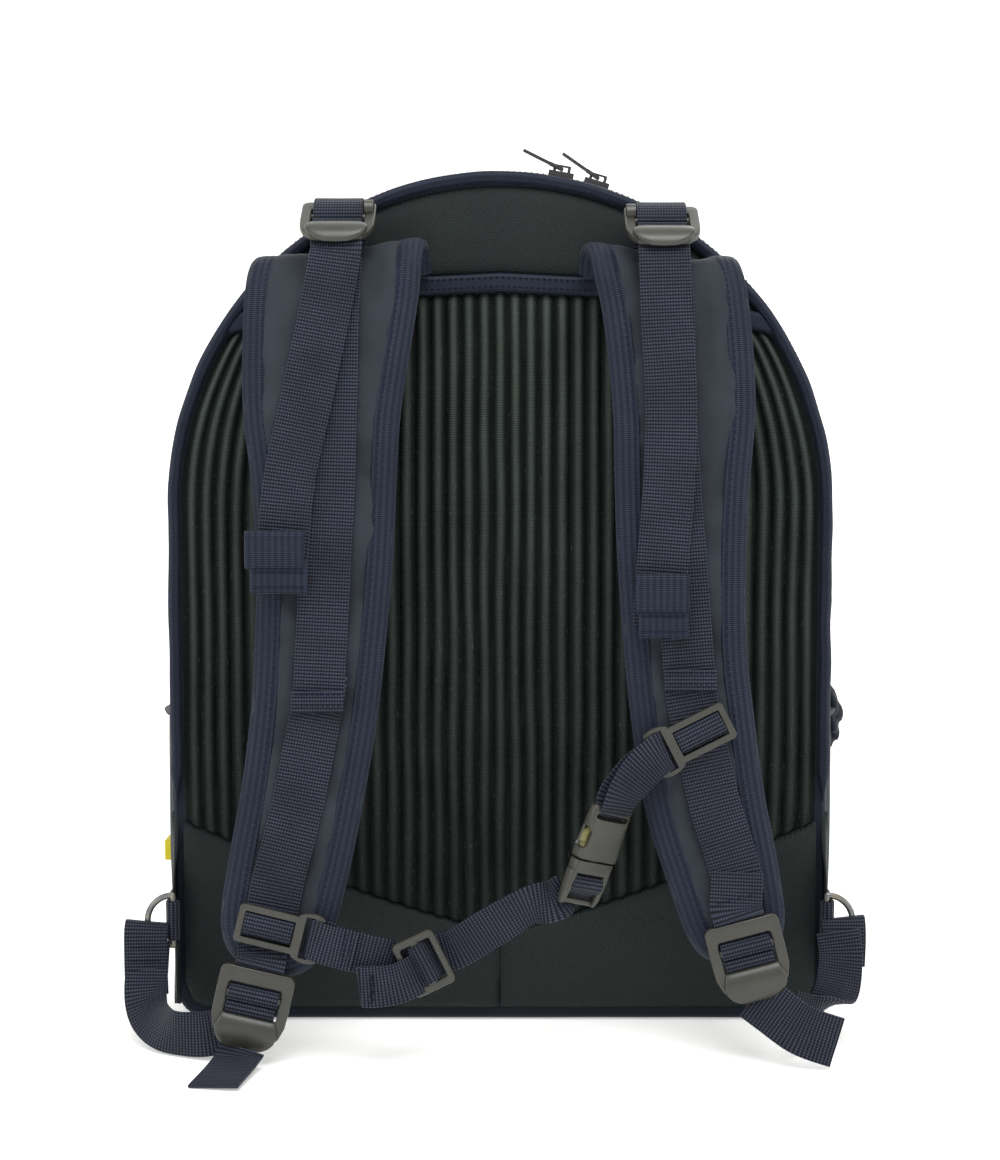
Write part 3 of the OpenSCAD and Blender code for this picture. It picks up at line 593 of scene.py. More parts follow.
def patch(name, x, z, height, finish, stands_for, body="pack", sharp=60.0, base_y=BACK_Y, weave=None):
    """A closed pad on the back: a front of given height over a flat underside."""
    rows, columns = x.shape
    front = np.stack([x, base_y - height, z], axis=-1).reshape(-1, 3)
    faces = [(r * columns + c, r * columns + c + 1, (r + 1) * columns + c + 1, (r + 1) * columns + c)
             for r in range(rows - 1) for c in range(columns - 1)]
    rim = ([c for c in range(columns)] + [r * columns + columns - 1 for r in range(1, rows)]
           + [(rows - 1) * columns + c for c in range(columns - 2, -1, -1)]
           + [r * columns for r in range(rows - 2, 0, -1)])
    under = front[rim].copy()
    under[:, 1] = base_y + 0.3
    first = len(front)
    count = len(rim)
    faces += [(rim[i], rim[(i + 1) % count], first + (i + 1) % count, first + i) for i in range(count)]
    faces.append(tuple(first + i for i in reversed(range(count))))
    if weave is not None:
        weave = np.vstack([weave.reshape(-1, 2), weave.reshape(-1, 2)[rim]])
    mesh = new_mesh(name, np.vstack([front, under]), faces, weave)
    return add_piece(name, mesh, finish, body, stands_for, sharp)


# %% Ribbed mesh
RIB_BEND = 62.0


def rib_x(phase, z):
    """Where a rib stands at a height: straight near the middle, squeezed inwards with the arch."""
    squeeze = (half_width(z) - RIB_BEND) / (HALF - RIB_BEND)
    return np.sign(phase) * np.where(np.abs(phase) < RIB_BEND, np.abs(phase),
                                     RIB_BEND + (np.abs(phase) - RIB_BEND) * squeeze)


phase = np.linspace(-HALF, HALF, 42 * 9 + 1)
low, high = seam_z(phase), shoulder_z(phase)
for _ in range(12):
    low = seam_z(rib_x(phase, low))
    high = shoulder_z(rib_x(phase, high))
up = np.linspace(0, 1, 76)[:, None]
mesh_z = low + (high - low) * up
mesh_x = rib_x(phase[None, :] * np.ones_like(mesh_z), mesh_z)
wander = bumps(np.stack([mesh_x, 0 * mesh_x, mesh_z * 0.5], -1), 30, 2.0)
count = phase[None, :] + wander * 0.9
ridge = np.abs(np.cos(math.pi * count / RIB)) ** 0.9
inside = np.minimum(np.minimum((mesh_z - low) + 0 * mesh_x, high - mesh_z), half_width(mesh_z) - np.abs(mesh_x))
pinch = bumps(np.stack([mesh_x, 0 * mesh_x, mesh_z], -1), 9, 5.0)
mesh_height = edge_fall(inside, 9) * (1.0 + 3.0 * ridge * (1 + 0.18 * pinch))
mesh_height += 3.5 * edge_fall(inside, 60)
ribbed = patch("ribbed_back", mesh_x, mesh_z, mesh_height, "mesh", ("back_mesh",),
               weave=np.stack([count, mesh_z], axis=-1))
print("ribbed back:", len(ribbed.data.polygons), "faces,", round(2 * HALF / RIB), "ribs")

# %% Yoke, taped seam and lower skins
across = np.linspace(-1, 1, 97)


def grid_between(bottom, top, limit, rows):
    """A grid from one seam up to another, with columns spread over x from -limit to limit."""
    x = np.ones((rows, 1)) * (across * limit)
    share = np.linspace(0, 1, rows)[:, None]
    return x, bottom(x) + (top(x) - bottom(x)) * share, share


arch_top = lambda x: ARCH_Z + np.sqrt(np.maximum(HALF**2 - x**2, 0))
yoke_x, yoke_z, share = grid_between(lambda x: shoulder_z(x) + BINDING_H - 1, arch_top, 133.5, 34)
yoke_in = np.minimum(arch_top(yoke_x) - yoke_z, yoke_z - shoulder_z(yoke_x) - BINDING_H + 1)
yoke_soft = bumps(np.stack([yoke_x, 0 * yoke_x, yoke_z], -1), 40, 1.0)
yoke_height = 2.6 * edge_fall(yoke_in, 10) + 2.8 * edge_fall(yoke_in, 34) + yoke_soft * edge_fall(yoke_in, 12)
patch("grained_yoke", yoke_x, yoke_z, yoke_height, "grained_fabric", ("yoke_panel",))

tape_x, tape_z, share = grid_between(lambda x: shoulder_z(x) - 0.5, lambda x: shoulder_z(x) + BINDING_H + 0.5, 143.0, 9)
tape_x = np.clip(tape_x, -half_width(tape_z) - 1, half_width(tape_z) + 1)
pucker = bumps(np.stack([tape_x * 1.0, 0 * tape_x, tape_z * 0.3], -1), 7, 4.0) * 0.35
tape_height = 5.0 + 1.6 * edge_fall(np.minimum(share, 1 - share) * BINDING_H, 2) + pucker
patch("seam_tape", tape_x, tape_z, tape_height, "binding", ("top_binding",))

for side in (-1, 1):
    x = side * (0.1 + (np.linspace(0, 1, 49)[None, :]) * (HALF - 0.1) * np.ones((26, 1)))
    foot = 6 + 12 * (1 - np.sqrt(np.clip(1 - (np.clip(np.abs(x) - (HALF - 12), 0, 12) / 12) ** 2, 0, 1)))
    z = foot + (seam_z(x) + 1.5 - foot) * np.linspace(0, 1, 26)[:, None]
    inside = np.minimum(np.minimum(seam_z(x) + 1.5 - z, np.abs(x)), np.minimum(HALF + 2 - np.abs(x), z - foot))
    soft = bumps(np.stack([x, 0 * x, z], -1), 26, 8.0 + side)
    height = 2.4 + 3.0 * edge_fall(inside, 9) + 1.4 * soft * edge_fall(inside, 10)
    height *= edge_fall(z - foot + 0.5, 5)
    name = "lower_skin_left" if side < 0 else "lower_skin_right"
    patch(name, x, z, height, "grained_fabric", ("lower_back_panel",) if side > 0 else ())

# %% [markdown]
# ## Piping
# A cord in a sleeve of bias tape stiffens the seam between the back and the sides. It is a tube that
# runs over the arch with a slight waver.

# %% Edge piping
PIPING_R = 3.0
PIPING_END = SEAM_HIGH + 12


def ring_section(path, side, radius, count=12, squash=1.0):
    """Circles of a radius (one number, or one for each point) square to a path."""
    along, u, v = frames(path, side)
    angle = np.linspace(0, 2 * math.pi, count, endpoint=False)
    r = np.broadcast_to(np.asarray(radius, float), (len(path),))[:, None, None]
    return (path[:, None] + r * (u[:, None] * np.cos(angle)[None, :, None]
                                 + squash * v[:, None] * np.sin(angle)[None, :, None]))


ring = ARCH_R - PIPING_R + 0.5
piping = np.array([(ring, z) for z in np.linspace(PIPING_END, ARCH_Z, 40, endpoint=False)]
                  + turn((0, ARCH_Z), ring, 0, 180, 130)
                  + [(-ring, z) for z in np.linspace(ARCH_Z, PIPING_END, 40)])
piping = np.column_stack([piping[:, 0], np.full(len(piping), BACK_Y - PIPING_R), piping[:, 1]])
waver = bumps(piping, 20, 6.0)
middle = np.array([0, BACK_Y - PIPING_R, ARCH_Z * 0.75])
piping += unit(piping - middle) * waver[:, None] * 0.5
ends = np.clip(np.minimum(np.arange(len(piping)), np.arange(len(piping))[::-1]) / 4, 0.15, 1)
tube = ring_section(piping, np.tile([0.0, 1, 0], (len(piping), 1)), PIPING_R * ends * (1 + 0.04 * waver))
add_piece("piping", loft_mesh("piping", tube), "binding", "pack", ("edge_piping",))

# %% [markdown]
# ## Shoulder pads
# A shoulder strap is foam between two cloths, pressed flat at its rim and bound with tape. The pad starts
# as a loft that is a little too thin, then a short cloth simulation blows it up with the rim held where
# the tape is sewn, which gives the soft uneven swell that no formula has. The webbing is sewn down the
# middle, so the swell is limited there.

# %% Padded strap
PAD_T = 9.0
RIM = 11.5
LEFT_PAD = [(-76, -82, 384), (-77, -90, 393), (-80, -102, 391), (-83, -111, 372), (-87, -118, 323), (-86, -122, 284),
            (-86, -125, 245), (-88, -127, 206), (-91, -129, 171), (-97, -132, 130), (-104, -135, 94),
            (-110, -138, 66), (-114, -139, 50), (-116, -139, 43)]
LEFT_PAD_W = [82, 83, 84, 84, 77, 70, 66, 63, 61, 59, 58, 54, 40, 14]
RIGHT_PAD = [(76, -82, 384), (77, -90, 392), (81, -102, 389), (86, -111, 370), (90, -118, 323), (89, -122, 284),
             (89, -125, 245), (91, -127, 200), (94, -129, 171), (100, -131, 130), (109, -134, 94), (116, -137, 66),
             (119, -138, 54), (120, -138, 48)]
RIGHT_PAD_W = [72, 73, 73, 71, 69, 65, 62, 59, 59, 58, 54, 48, 36, 14]
ACROSS = (1.0, 0.0, 0.0)
SWELL_LIMIT = 7.0
SEWN_LIMIT = PAD_T / 2 - 0.1
SEWN_HALF = 14.5


def rim_height(inward):
    """Half the thickness of a strap at a distance in from its edge."""
    return 1.5 + 1.7 * edge_fall(inward, 5) + 0.9 * edge_fall(inward - RIM, 9)


def swell(mesh, rings, held, pressure, steps=20):
    """Blows a closed loft up as cloth, with some points held, and returns its new rings in millimetres."""
    cloth_piece = bpy.data.objects.new("trial", mesh)
    scene.collection.objects.link(cloth_piece)
    group = cloth_piece.vertex_groups.new(name="sewn")
    group.add([int(i) for i in np.flatnonzero(held.ravel())], 1.0, "REPLACE")
    cloth = cloth_piece.modifiers.new("cloth", "CLOTH")
    cloth.settings.quality = 6
    cloth.settings.mass = 0.15
    cloth.settings.use_pressure = True
    cloth.settings.uniform_pressure_force = pressure
    cloth.settings.vertex_group_mass = "sewn"
    cloth.settings.shrink_min = -0.03
    cloth.settings.effector_weights.gravity = 0
    cloth.point_cache.frame_start, cloth.point_cache.frame_end = 1, steps
    for step in range(1, steps + 1):
        scene.frame_set(step)
    view = cloth_piece.evaluated_get(bpy.context.evaluated_depsgraph_get())
    found = np.zeros(len(view.data.vertices) * 3, np.float32)
    view.data.vertices.foreach_get("co", found)
    scene.frame_set(1)
    bpy.data.objects.remove(cloth_piece)
    return found.reshape(rings.shape) / MM


def strap_pad(name, route, widths, rail_x, body, stands_for, seed):
    lean = math.copysign(0.15, -route[0][0])
    sides = [(1, 0, lean * np.interp(z, [325, 384], [0, 1])) for x, y, z in route]
    s, path, side, width = evenly(4.0, smooth(route), smooth(sides), smooth(widths))
    along, u, v = frames(path, side)
    half = width / 2
    q = np.sin(np.linspace(-math.pi / 2, math.pi / 2, 19))
    inward = (1 - np.abs(q))[None, :] * half
    height = rim_height(inward)
    soft = bumps(path[:, None] + u[:, None] * (q[:, None] * half[:, :, None]), 30, seed) * edge_fall(inward - RIM, 8)
    flat = path[:, None] + u[:, None] * (q[None, :] * half)[..., None]
    front = flat + v[:, None] * (height + 0.4 * soft)[..., None]
    back = (flat - v[:, None] * height[..., None])[:, ::-1]
    rings = np.concatenate([front, back], axis=1)
    reach = np.concatenate([inward, inward[:, ::-1]], axis=1)
    held = reach < RIM
    held[:3], held[-4:] = True, True
    start = rings.copy()
    rings = swell(loft_mesh(name + "_trial", rings), rings, held, 4.0)
    move = rings - start
    far = np.linalg.norm(move, axis=2, keepdims=True)
    rings = start + move * np.minimum(1, SWELL_LIMIT / np.maximum(far, 1e-6))
    out = ((rings - path[:, None]) * v[:, None]).sum(2)
    beside = np.abs(rings[:, :, 0] - np.interp(path[:, 2], *rail_x)[:, None])
    limit = np.where(beside < SEWN_HALF, SEWN_LIMIT, SEWN_LIMIT + 2.0 * edge_fall(beside - SEWN_HALF, 6))
    over = np.clip(out - limit, 0, None) - np.clip(-PAD_T / 2 - 1 - out, 0, None)
    rings = rings - over[..., None] * v[:, None]
    pad = add_piece(name, loft_mesh(name, rings), "pad_fabric", body, stands_for, 80)
    fold = pad.modifiers.new("smooth", "SUBSURF")
    fold.levels = fold.render_levels = 1
    return path, u, v, half[:, 0]


# %% Binding round a strap, and rows of stitches
def strap_edge(path, u, v, half):
    """The rim of a strap: down its left edge, round the tip and up the right, with its face normals."""
    left, right = path - u * half[:, None], path + u * half[:, None]
    rim = np.vstack([left, right[::-1]])
    normal = np.vstack([v, v[::-1]])
    s, rim, normal = evenly(2.5, rim, normal)
    for _ in range(3):
        rim[1:-1] = (rim[:-2] + 2 * rim[1:-1] + rim[2:]) / 4
    along = unit(np.gradient(rim, axis=0))
    out = np.cross(along, unit(normal))
    out *= np.sign((out * (rim - path.mean(0))).sum(1).mean())
    return rim, unit(out), unit(normal)


BINDING_CUT = [(RIM + 0.6, 3.4), (RIM, 4.0), (8.5, 4.1), (5.5, 3.9), (2.8, 3.4), (0.9, 2.5), (-0.5, 1.2)]


def bind(name, path, u, v, half, body, seed):
    rim, out, normal = strap_edge(path, u, v, half)
    cut = np.array(BINDING_CUT + [(a, -b) for a, b in BINDING_CUT[::-1]])
    inner = np.array([(a + 0.25, b * 0.72) for a, b in cut[::-1]])
    section = np.vstack([cut, inner])
    ripple = bumps(rim, 9, seed) * 0.22
    rings = (rim[:, None] - out[:, None] * section[None, :, :1]
             + normal[:, None] * (section[None, :, 1:] + ripple[:, None, None] * np.sign(section[None, :, 1:])))
    run = np.r_[0, np.cumsum(np.linalg.norm(np.diff(section, axis=0), axis=1))]
    tape = add_piece(name, loft_mesh(name, rings, across=run), "binding", body)
    row = rim - out * (RIM - 2.4) + normal * (4.05 + ripple[:, None])
    stitch_row(name + "_stitches", [row], [normal], "thread", body, 2.1, 1.2)
    return tape


def facing_out(count):
    """Normals for a row of stitches that faces -Y, towards the wearer."""
    return np.tile([0, -1.0, 0], (count, 1))


def stitch_row(name, rows, normals, finish, body, length=2.2, gap=1.0, radius=0.3):
    """Short stitches along paths: each is a spindle of thread that dives into the cloth at both ends."""
    verts, faces = [], []
    profile = [(-0.5, 0.35, -0.35), (-0.3, 1.0, 0.15), (0.3, 1.0, 0.15), (0.5, 0.35, -0.35)]
    angle = np.linspace(0, 2 * math.pi, 5, endpoint=False)
    for row, normal in zip(rows, normals):
        s, spots, faced = evenly(length + gap, np.asarray(row, float), np.asarray(normal, float))
        along, side, out = frames(spots, np.cross(faced, np.gradient(spots, axis=0)))
        out *= np.sign((out * faced).sum(1, keepdims=True))
        for i in range(len(spots) - 1):
            centre = (spots[i] + spots[i + 1]) / 2
            rings = [centre + along[i] * length * a + out[i] * radius * lift
                     + radius * fat * (np.cos(angle)[:, None] * side[i] + np.sin(angle)[:, None] * out[i])
                     for a, fat, lift in profile]
            faces += loft_faces(4, 5, base=len(verts))
            verts += [p for r in rings for p in r]
    return add_piece(name, new_mesh(name, verts, faces), finish, body)


# %% Stitches along the seam tape
seam_x = np.linspace(-74, 74, 60)
seam_rows = [np.stack([seam_x, np.full(60, BACK_Y - 6.95), shoulder_z(seam_x) + rise], axis=1) for rise in (1.5, 6.3)]
stitch_row("seam_tape_stitches", seam_rows, [facing_out(60)] * 2, "dark_thread", "pack", 1.7, 1.3, 0.4)

# %% Both pads
left_rail_x = ([57, 94, 130, 171, 206, 245, 284, 323, 393], [-115, -107, -98, -89, -87, -85, -83, -82, -80])
right_rail_x = ([84, 97, 130, 176, 206, 245, 284, 323, 391], [116, 114, 104, 94, 91, 88, 85, 83, 80])
pads = {}
for side, route, widths, rail_x, seed in (("left", LEFT_PAD, LEFT_PAD_W, left_rail_x, 1.0),
                                          ("right", RIGHT_PAD, RIGHT_PAD_W, right_rail_x, 5.0)):
    body = "strap_" + side
    pads[side] = strap_pad("pad_" + side, route, widths, rail_x, body, ("shoulder_pad_" + side,), seed)
    bind("pad_binding_" + side, *pads[side], body, seed)
print("pads:", {side: round(float(p[3].max() * 2)) for side, p in pads.items()}, "mm at the widest")

# %% [markdown]
# ## Webbing
# Webbing is a flat strip with a firm selvedge, so its section is a thin rounded bar with a few points
# close to each edge. Each strip follows the route of its CAD solid. What brings it to life is what lies
# on top of the route: a slow bow between bar tacks, and folded, sewn ends.

# %% Strip of webbing
WEB_W, WEB_T = 25.0, 1.6
SELVEDGE = np.array([-1, -0.985, -0.93, -0.75, -0.4, 0, 0.4, 0.75, 0.93, 0.985, 1])
FIRM = WEB_T / 2 * np.array([0.35, 0.8, 1, 1, 0.96, 0.94, 0.96, 1, 1, 0.8, 0.35])


def strip(name, route, side=ACROSS, width=WEB_W, thick=WEB_T, bow=None, finish="navy_webbing", body=None,
          stands_for=(), rests_on=(), step=2.0, slack=0.3):
    """A strip of webbing along a route. bow(s, length) is how far its face stands off the route."""
    sides = smooth(side if np.ndim(side) == 2 else [side] * len(route))
    widths = smooth(width if np.ndim(width) == 1 else [width] * len(route))
    s, path, sides, widths = evenly(step, smooth(route), sides, widths)
    along, u, v = frames(path, sides)
    lift = slack * bumps(path, 16, width if np.ndim(width) == 0 else 3.0)
    if bow:
        lift = lift + bow(s, s[-1])
    middle = path[:, None] + u[:, None] * (SELVEDGE[None, :] * widths / 2)[..., None] + v[:, None] * lift[:, None, None]
    thickness = (FIRM * thick / WEB_T)[None, :, None] * v[:, None]
    rings = np.concatenate([middle + thickness, (middle - thickness)[:, ::-1]], axis=1)
    half_run = (SELVEDGE + 1) * widths.mean() / 2
    mesh = loft_mesh(name, rings, across=np.concatenate([half_run, half_run[::-1]]))
    piece = add_piece(name, mesh, finish, body, stands_for)
    return piece


def between_tacks(*tacks, height=1.3):
    """Webbing that bows out between bar tacks, given as shares of the strip's length."""
    def bow(s, length):
        share = s / length
        gaps = [np.where((share >= a) & (share <= b), np.sin(math.pi * (share - a) / (b - a)), 0)
                for a, b in zip(tacks, tacks[1:])]
        return height * np.sum(gaps, axis=0) ** 2
    return bow


# %% Sewn webbing on the pads
RAIL_OUT = PAD_T / 2 + 0.4 + WEB_T / 2
TAIL_OUT = RAIL_OUT + WEB_T + 0.4
LEFT_RAIL = [(-80, -106, 393), (-81, -113, 372), (-82, -118.5, 323), (-83, -122.5, 284), (-85, -125.5, 245),
             (-87, -127.5, 206), (-89, -129.5, 171), (-98, -132.5, 130), (-107, -135.5, 94),
             (-113, -138.5, 66), (-115, -139.5, 57)]
RIGHT_RAIL = [(80, -106, 391), (82, -113, 370), (83, -118.5, 323), (85, -122.5, 284), (88, -125.5, 245),
              (91, -127.5, 206), (94, -129.5, 176), (104, -131.5, 130), (114, -134.5, 97), (116, -136.5, 84)]


def lifted(route, out):
    return [(x, y - out, z) for x, y, z in route]


def overlap_at(route, z, out, more=16.0):
    """The part of a route above height z, and the part below it that starts a little way under the first."""
    upper = [p for p in route if p[2] > z + 4]
    lower = [p for p in route if p[2] < z - 4]
    cut = smooth(route, 30)
    at = lambda h: tuple(cut[np.argmin(np.abs(cut[:, 2] - h))])
    return lifted(upper + [at(z)], out), lifted([at(z + more), at(z + more / 2)] + lower, out)


for side, rail, fold_z in (("left", LEFT_RAIL, 173.5), ("right", RIGHT_RAIL, 183.5)):
    body = "strap_" + side
    upper, lower = overlap_at(rail, fold_z, RAIL_OUT)
    upper = upper[:-1] + [(upper[-1][0], upper[-1][1] - 1.5, upper[-1][2])]
    strip("rail_webbing_upper_" + side, upper, bow=between_tacks(0.0, 0.36, 0.58, 0.79, 0.97), body=body,
          stands_for=("rail_webbing_" + side,), rests_on=["pad_" + side])
    strip("rail_webbing_lower_" + side, lower, bow=between_tacks(0.12, 0.5, 0.98, height=0.8), body=body,
          rests_on=["pad_" + side])
    x, y, z = upper[-1]
    hem = [(x, y - 1.5, z + 9), (x, y - 2.0, z + 4), (x, y - 1.6, z - 0.6), (x, y + 0.6, z - 1.0)]
    strip("rail_hem_" + side, hem, width=WEB_W + 0.6, body=body, step=0.8, slack=0.1)
    rows = [np.array([(x - 11.5, y - 2.6, h), (x + 11.5, y - 2.6, h)]) for h in (z + 2.0, z + 7.5)]
    stitch_row("rail_hem_stitches_" + side, rows, [facing_out(2)] * 2, "thread", body, 1.9, 0.7, 0.35)

# %% Load lifters
LEFT_TAIL = [(-80, -114, 388), (-85, -116, 366), (-94, -119.5, 323), (-102, -123, 285), (-106, -126, 246),
             (-107, -126.5, 225)]
RIGHT_TAIL = [(80, -114, 388), (81, -116, 362), (83, -119.5, 323), (82, -123, 285), (79, -126, 246), (77, -128, 206)]
LOCK_Z = {"left": 410.5, "right": 408.5}
for side, sign, tail, tilt in (("left", -1, LEFT_TAIL, (1, 0, 0.12)), ("right", 1, RIGHT_TAIL, ACROSS)):
    top = LOCK_Z[side]
    run = [(sign * 80, -106.5, top - 4.5), (sign * 80, -114.5, top - 9.5),
           (sign * 80, -120, top - 16)] + lifted(tail, TAIL_OUT)[1:-1]
    x, y, z = lifted(tail, TAIL_OUT)[-1]
    run += [(x, y - 0.4, z + 7)]
    tail_strip = strip("lifter_tail_cloth_" + side, run, side=tilt, rests_on=["lifter_lock_" + side],
                       stands_for=("lifter_tail_" + side,), bow=between_tacks(0.2, 0.55, 0.9, height=1.0))
    "strap_" + side
    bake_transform(tail_strip)

# %% Ends of the lifter tails
def folded_end(name, x, top, bottom, y, width, body, shift):
    """A sewn fold at the end of a webbing tail: a raised upper half, and a flat half with two stitch rows."""
    high, low = y - 2.6, y - 1.6
    split = bottom + (top - bottom) * 0.42
    upper = [(x, y + 0.2, top + 0.6), (x, high, top + 0.2), (x, high - 0.5, top - 4), (x, high - 0.4, split + 3),
             (x, high + 0.2, split + 0.6),
             (x, y, split + 0.2)]
    strip(name + "_fold", upper, width=width, finish="binding", body=body, step=0.8, slack=0.35)
    lower = [(x + shift, y, split + 3), (x + shift, low, split - 0.5), (x + shift, low - 0.2, bottom + 2),
             (x + shift, low + 0.2, bottom + 0.4),
             (x + shift, y + 0.2, bottom)]
    strip(name + "_hem", lower, width=width - 1.2, finish="binding", body=body, step=0.8, slack=0.3)
    half = width / 2 - 1.8
    rows = []
    for base in (bottom + 2.2, split - 2.6):
        across = np.linspace(x + shift - half, x + shift + half, 15)
        rows.append(np.stack([across, np.full(15, low - 1.1), base + 1.1 * np.where(np.arange(15) % 2, 1, 0)], axis=1))
    stitch_row(name + "_stitches", rows, [facing_out(15)] * 2, "thread", body, 1.5, 0.3, 0.28)


folded_end("tail_end_left", -108.7, 259.4, 230.7, -137.6, 29, "strap_left", 2.0)
folded_end("tail_end_right", 78.5, 238.5, 209.3, -139.0, 25.8, "strap_right", 0.6)

# %% [markdown]
# ## Moulded hardware
# Buckles are moulded, so no edge on them is sharp. A filled curve with a bevel makes a plate with holes
# and rounded edges in one step, and a row of rounded sections makes a lip or a leg whose thickness
# changes. Parts whose CAD shape is already right only get their edges rounded by a bevel modifier.

# %% Plates, rounded bars and placing
def rounded(x0, x1, z0, z1, r, count=6):
    """A rectangle with round corners, anticlockwise."""
    return (turn((x1 - r, z1 - r), r, 0, 90, count) + turn((x0 + r, z1 - r), r, 90, 180, count)
            + turn((x0 + r, z0 + r), r, 180, 270, count) + turn((x1 - r, z0 + r), r, 270, 360, count))


def plate(outer, holes, thick, bevel=0.7):
    """A flat moulding in x and z with rounded edges, facing -Y: (points, faces)."""
    curve = bpy.data.curves.new("plate", "CURVE")
    curve.dimensions, curve.fill_mode = "2D", "BOTH"
    curve.extrude, curve.bevel_depth = thick / 2 - bevel, bevel
    curve.bevel_resolution, curve.offset = 3, -bevel
    for loop in [outer] + [hole[::-1] for hole in holes]:
        spline = curve.splines.new("POLY")
        spline.points.add(len(loop) - 1)
        spline.use_cyclic_u = True
        for point, (x, z) in zip(spline.points, loop):
            point.co = (x, z, 0, 1)
    trial = bpy.data.objects.new("plate", curve)
    scene.collection.objects.link(trial)
    view = trial.evaluated_get(bpy.context.evaluated_depsgraph_get())
    mesh = view.to_mesh()
    points = np.array([(v.co.x, -v.co.z, v.co.y) for v in mesh.vertices])
    faces = [tuple(p.vertices) for p in mesh.polygons]
    view.to_mesh_clear()
    bpy.data.objects.remove(trial)
    return points, faces


def bar(stations, count=20, power=4.0):
    """A moulded bar through stations of (centre, half width in x, half thickness in y), rounded square in section."""
    angle = np.linspace(0, 2 * math.pi, count, endpoint=False)
    c, s = np.cos(angle), np.sin(angle)
    shape = np.stack([np.sign(c) * np.abs(c) ** (2 / power), np.sign(s) * np.abs(s) ** (2 / power)], axis=1)
    rings = [[(x + shape[k, 0] * w, y + shape[k, 1] * t, z) for k in range(count)] for (x, y, z), w, t in stations]
    return np.array(rings).reshape(-1, 3), loft_faces(len(stations), count)


def rod(start, end, radius, count=14, cap=0.35):
    """A round bar with softened ends."""
    start, end = np.array(start, float), np.array(end, float)
    run = end - start
    share = np.array([0, 0.02, 0.06, 0.94, 0.98, 1])
    fat = radius * np.array([1 - cap, 1 - cap / 4, 1, 1, 1 - cap / 4, 1 - cap])
    path = start + run * share[:, None]
    other = np.array([0.0, 1.0, 0.3]) if abs(unit(run)[1]) < 0.9 else np.array([1.0, 0, 0])
    return ring_section(path, np.tile(other, (6, 1)), fat, count).reshape(-1, 3), loft_faces(6, count)


def together(*parts):
    """Several (points, faces) as one."""
    points, faces = [], []
    for p, f in parts:
        faces += [tuple(i + len(points) for i in face) for face in f]
        points += list(np.asarray(p))
    return np.array(points), faces


def turned(points, axis, degrees):
    """Points turned about an axis through the origin."""
    a = math.radians(degrees)
    c, s = math.cos(a), math.sin(a)
    x, y, z = np.asarray(points, float).T
    if axis == "X":
        return np.stack([x, y * c - z * s, y * s + z * c], axis=1)
    if axis == "Y":
        return np.stack([x * c + z * s, y, -x * s + z * c], axis=1)
    return np.stack([x * c - y * s, x * s + y * c, z], axis=1)


def x_of(put):
    """Which way a placed part's own x axis points."""
    return put([(1, 0, 0)])[0] - put([(0, 0, 0)])[0]


def moulding(name, part, put, body, stands_for, finish="hardware_plastic"):
    points, faces = part
    return add_piece(name, new_mesh(name, put(points), faces), finish, body, stands_for, 35)


def soften(node, finish, width=0.35):
    """Rounds the edges of a CAD piece whose shape is right, and gives it its finish."""
    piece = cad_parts[node]
    piece.data.materials.clear()
    piece.data.materials.append(finishes[finish])
    weld = piece.modifiers.new("weld", "WELD")
    weld.merge_threshold = 0.00002
    if width:
        edge = piece.modifiers.new("edge", "BEVEL")
        edge.width, edge.segments, edge.limit_method = width * MM, 2, "ANGLE"
        edge.angle_limit = math.radians(35)
        edge.use_clamp_overlap = True
    return piece


# %% Ladder locks
LOCK_W, LOCK_H = 37.0, 40.0
SLOT_HALF = (WEB_W + 1.6) / 2


def ladder_lock():
    """A wide flat top bar, two side rails, a round middle bar and a curved lip that grips the webbing."""
    half, top = LOCK_W / 2, LOCK_H / 2
    frame_line = (turn((half - 4, top - 4), 4, 0, 90, 6) + turn((-half + 4, top - 4), 4, 90, 180, 6)
                  + [(-half, 2), (-half + 0.3, -6), (-half + 2.2, -12), (-half + 6, -16.5), (0, -18.5),
                     (half - 6, -16.5), (half - 2.2, -12), (half - 0.3, -6), (half, 2)])
    window = rounded(-SLOT_HALF, SLOT_HALF, -13.0, top - 8.0, 1.6)
    flat = plate(frame_line, [window], 3.6, 0.8)
    lip = bar([((0, -0.6, -3.6), 13.2, 0.7), ((0, -1.0, -4.4), 13.6, 1.6), ((0, -1.6, -6.2), 14.2, 2.2),
               ((0, -2.2, -8.4), 14.8, 2.3), ((0, -2.7, -11.0), 15.4, 2.1), ((0, -2.7, -14.2), 14.8, 1.9),
               ((0, -2.2, -17.0), 12.8, 1.7), ((0, -1.5, -19.2), 9.8, 1.5), ((0, -0.9, -20.2), 6.8, 1.0)], 36, 5.0)
    middle = rod((-SLOT_HALF - 1, 0.4, 6.2), (SLOT_HALF + 1, 0.4, 6.2), 1.9)
    return together(flat, lip, middle)


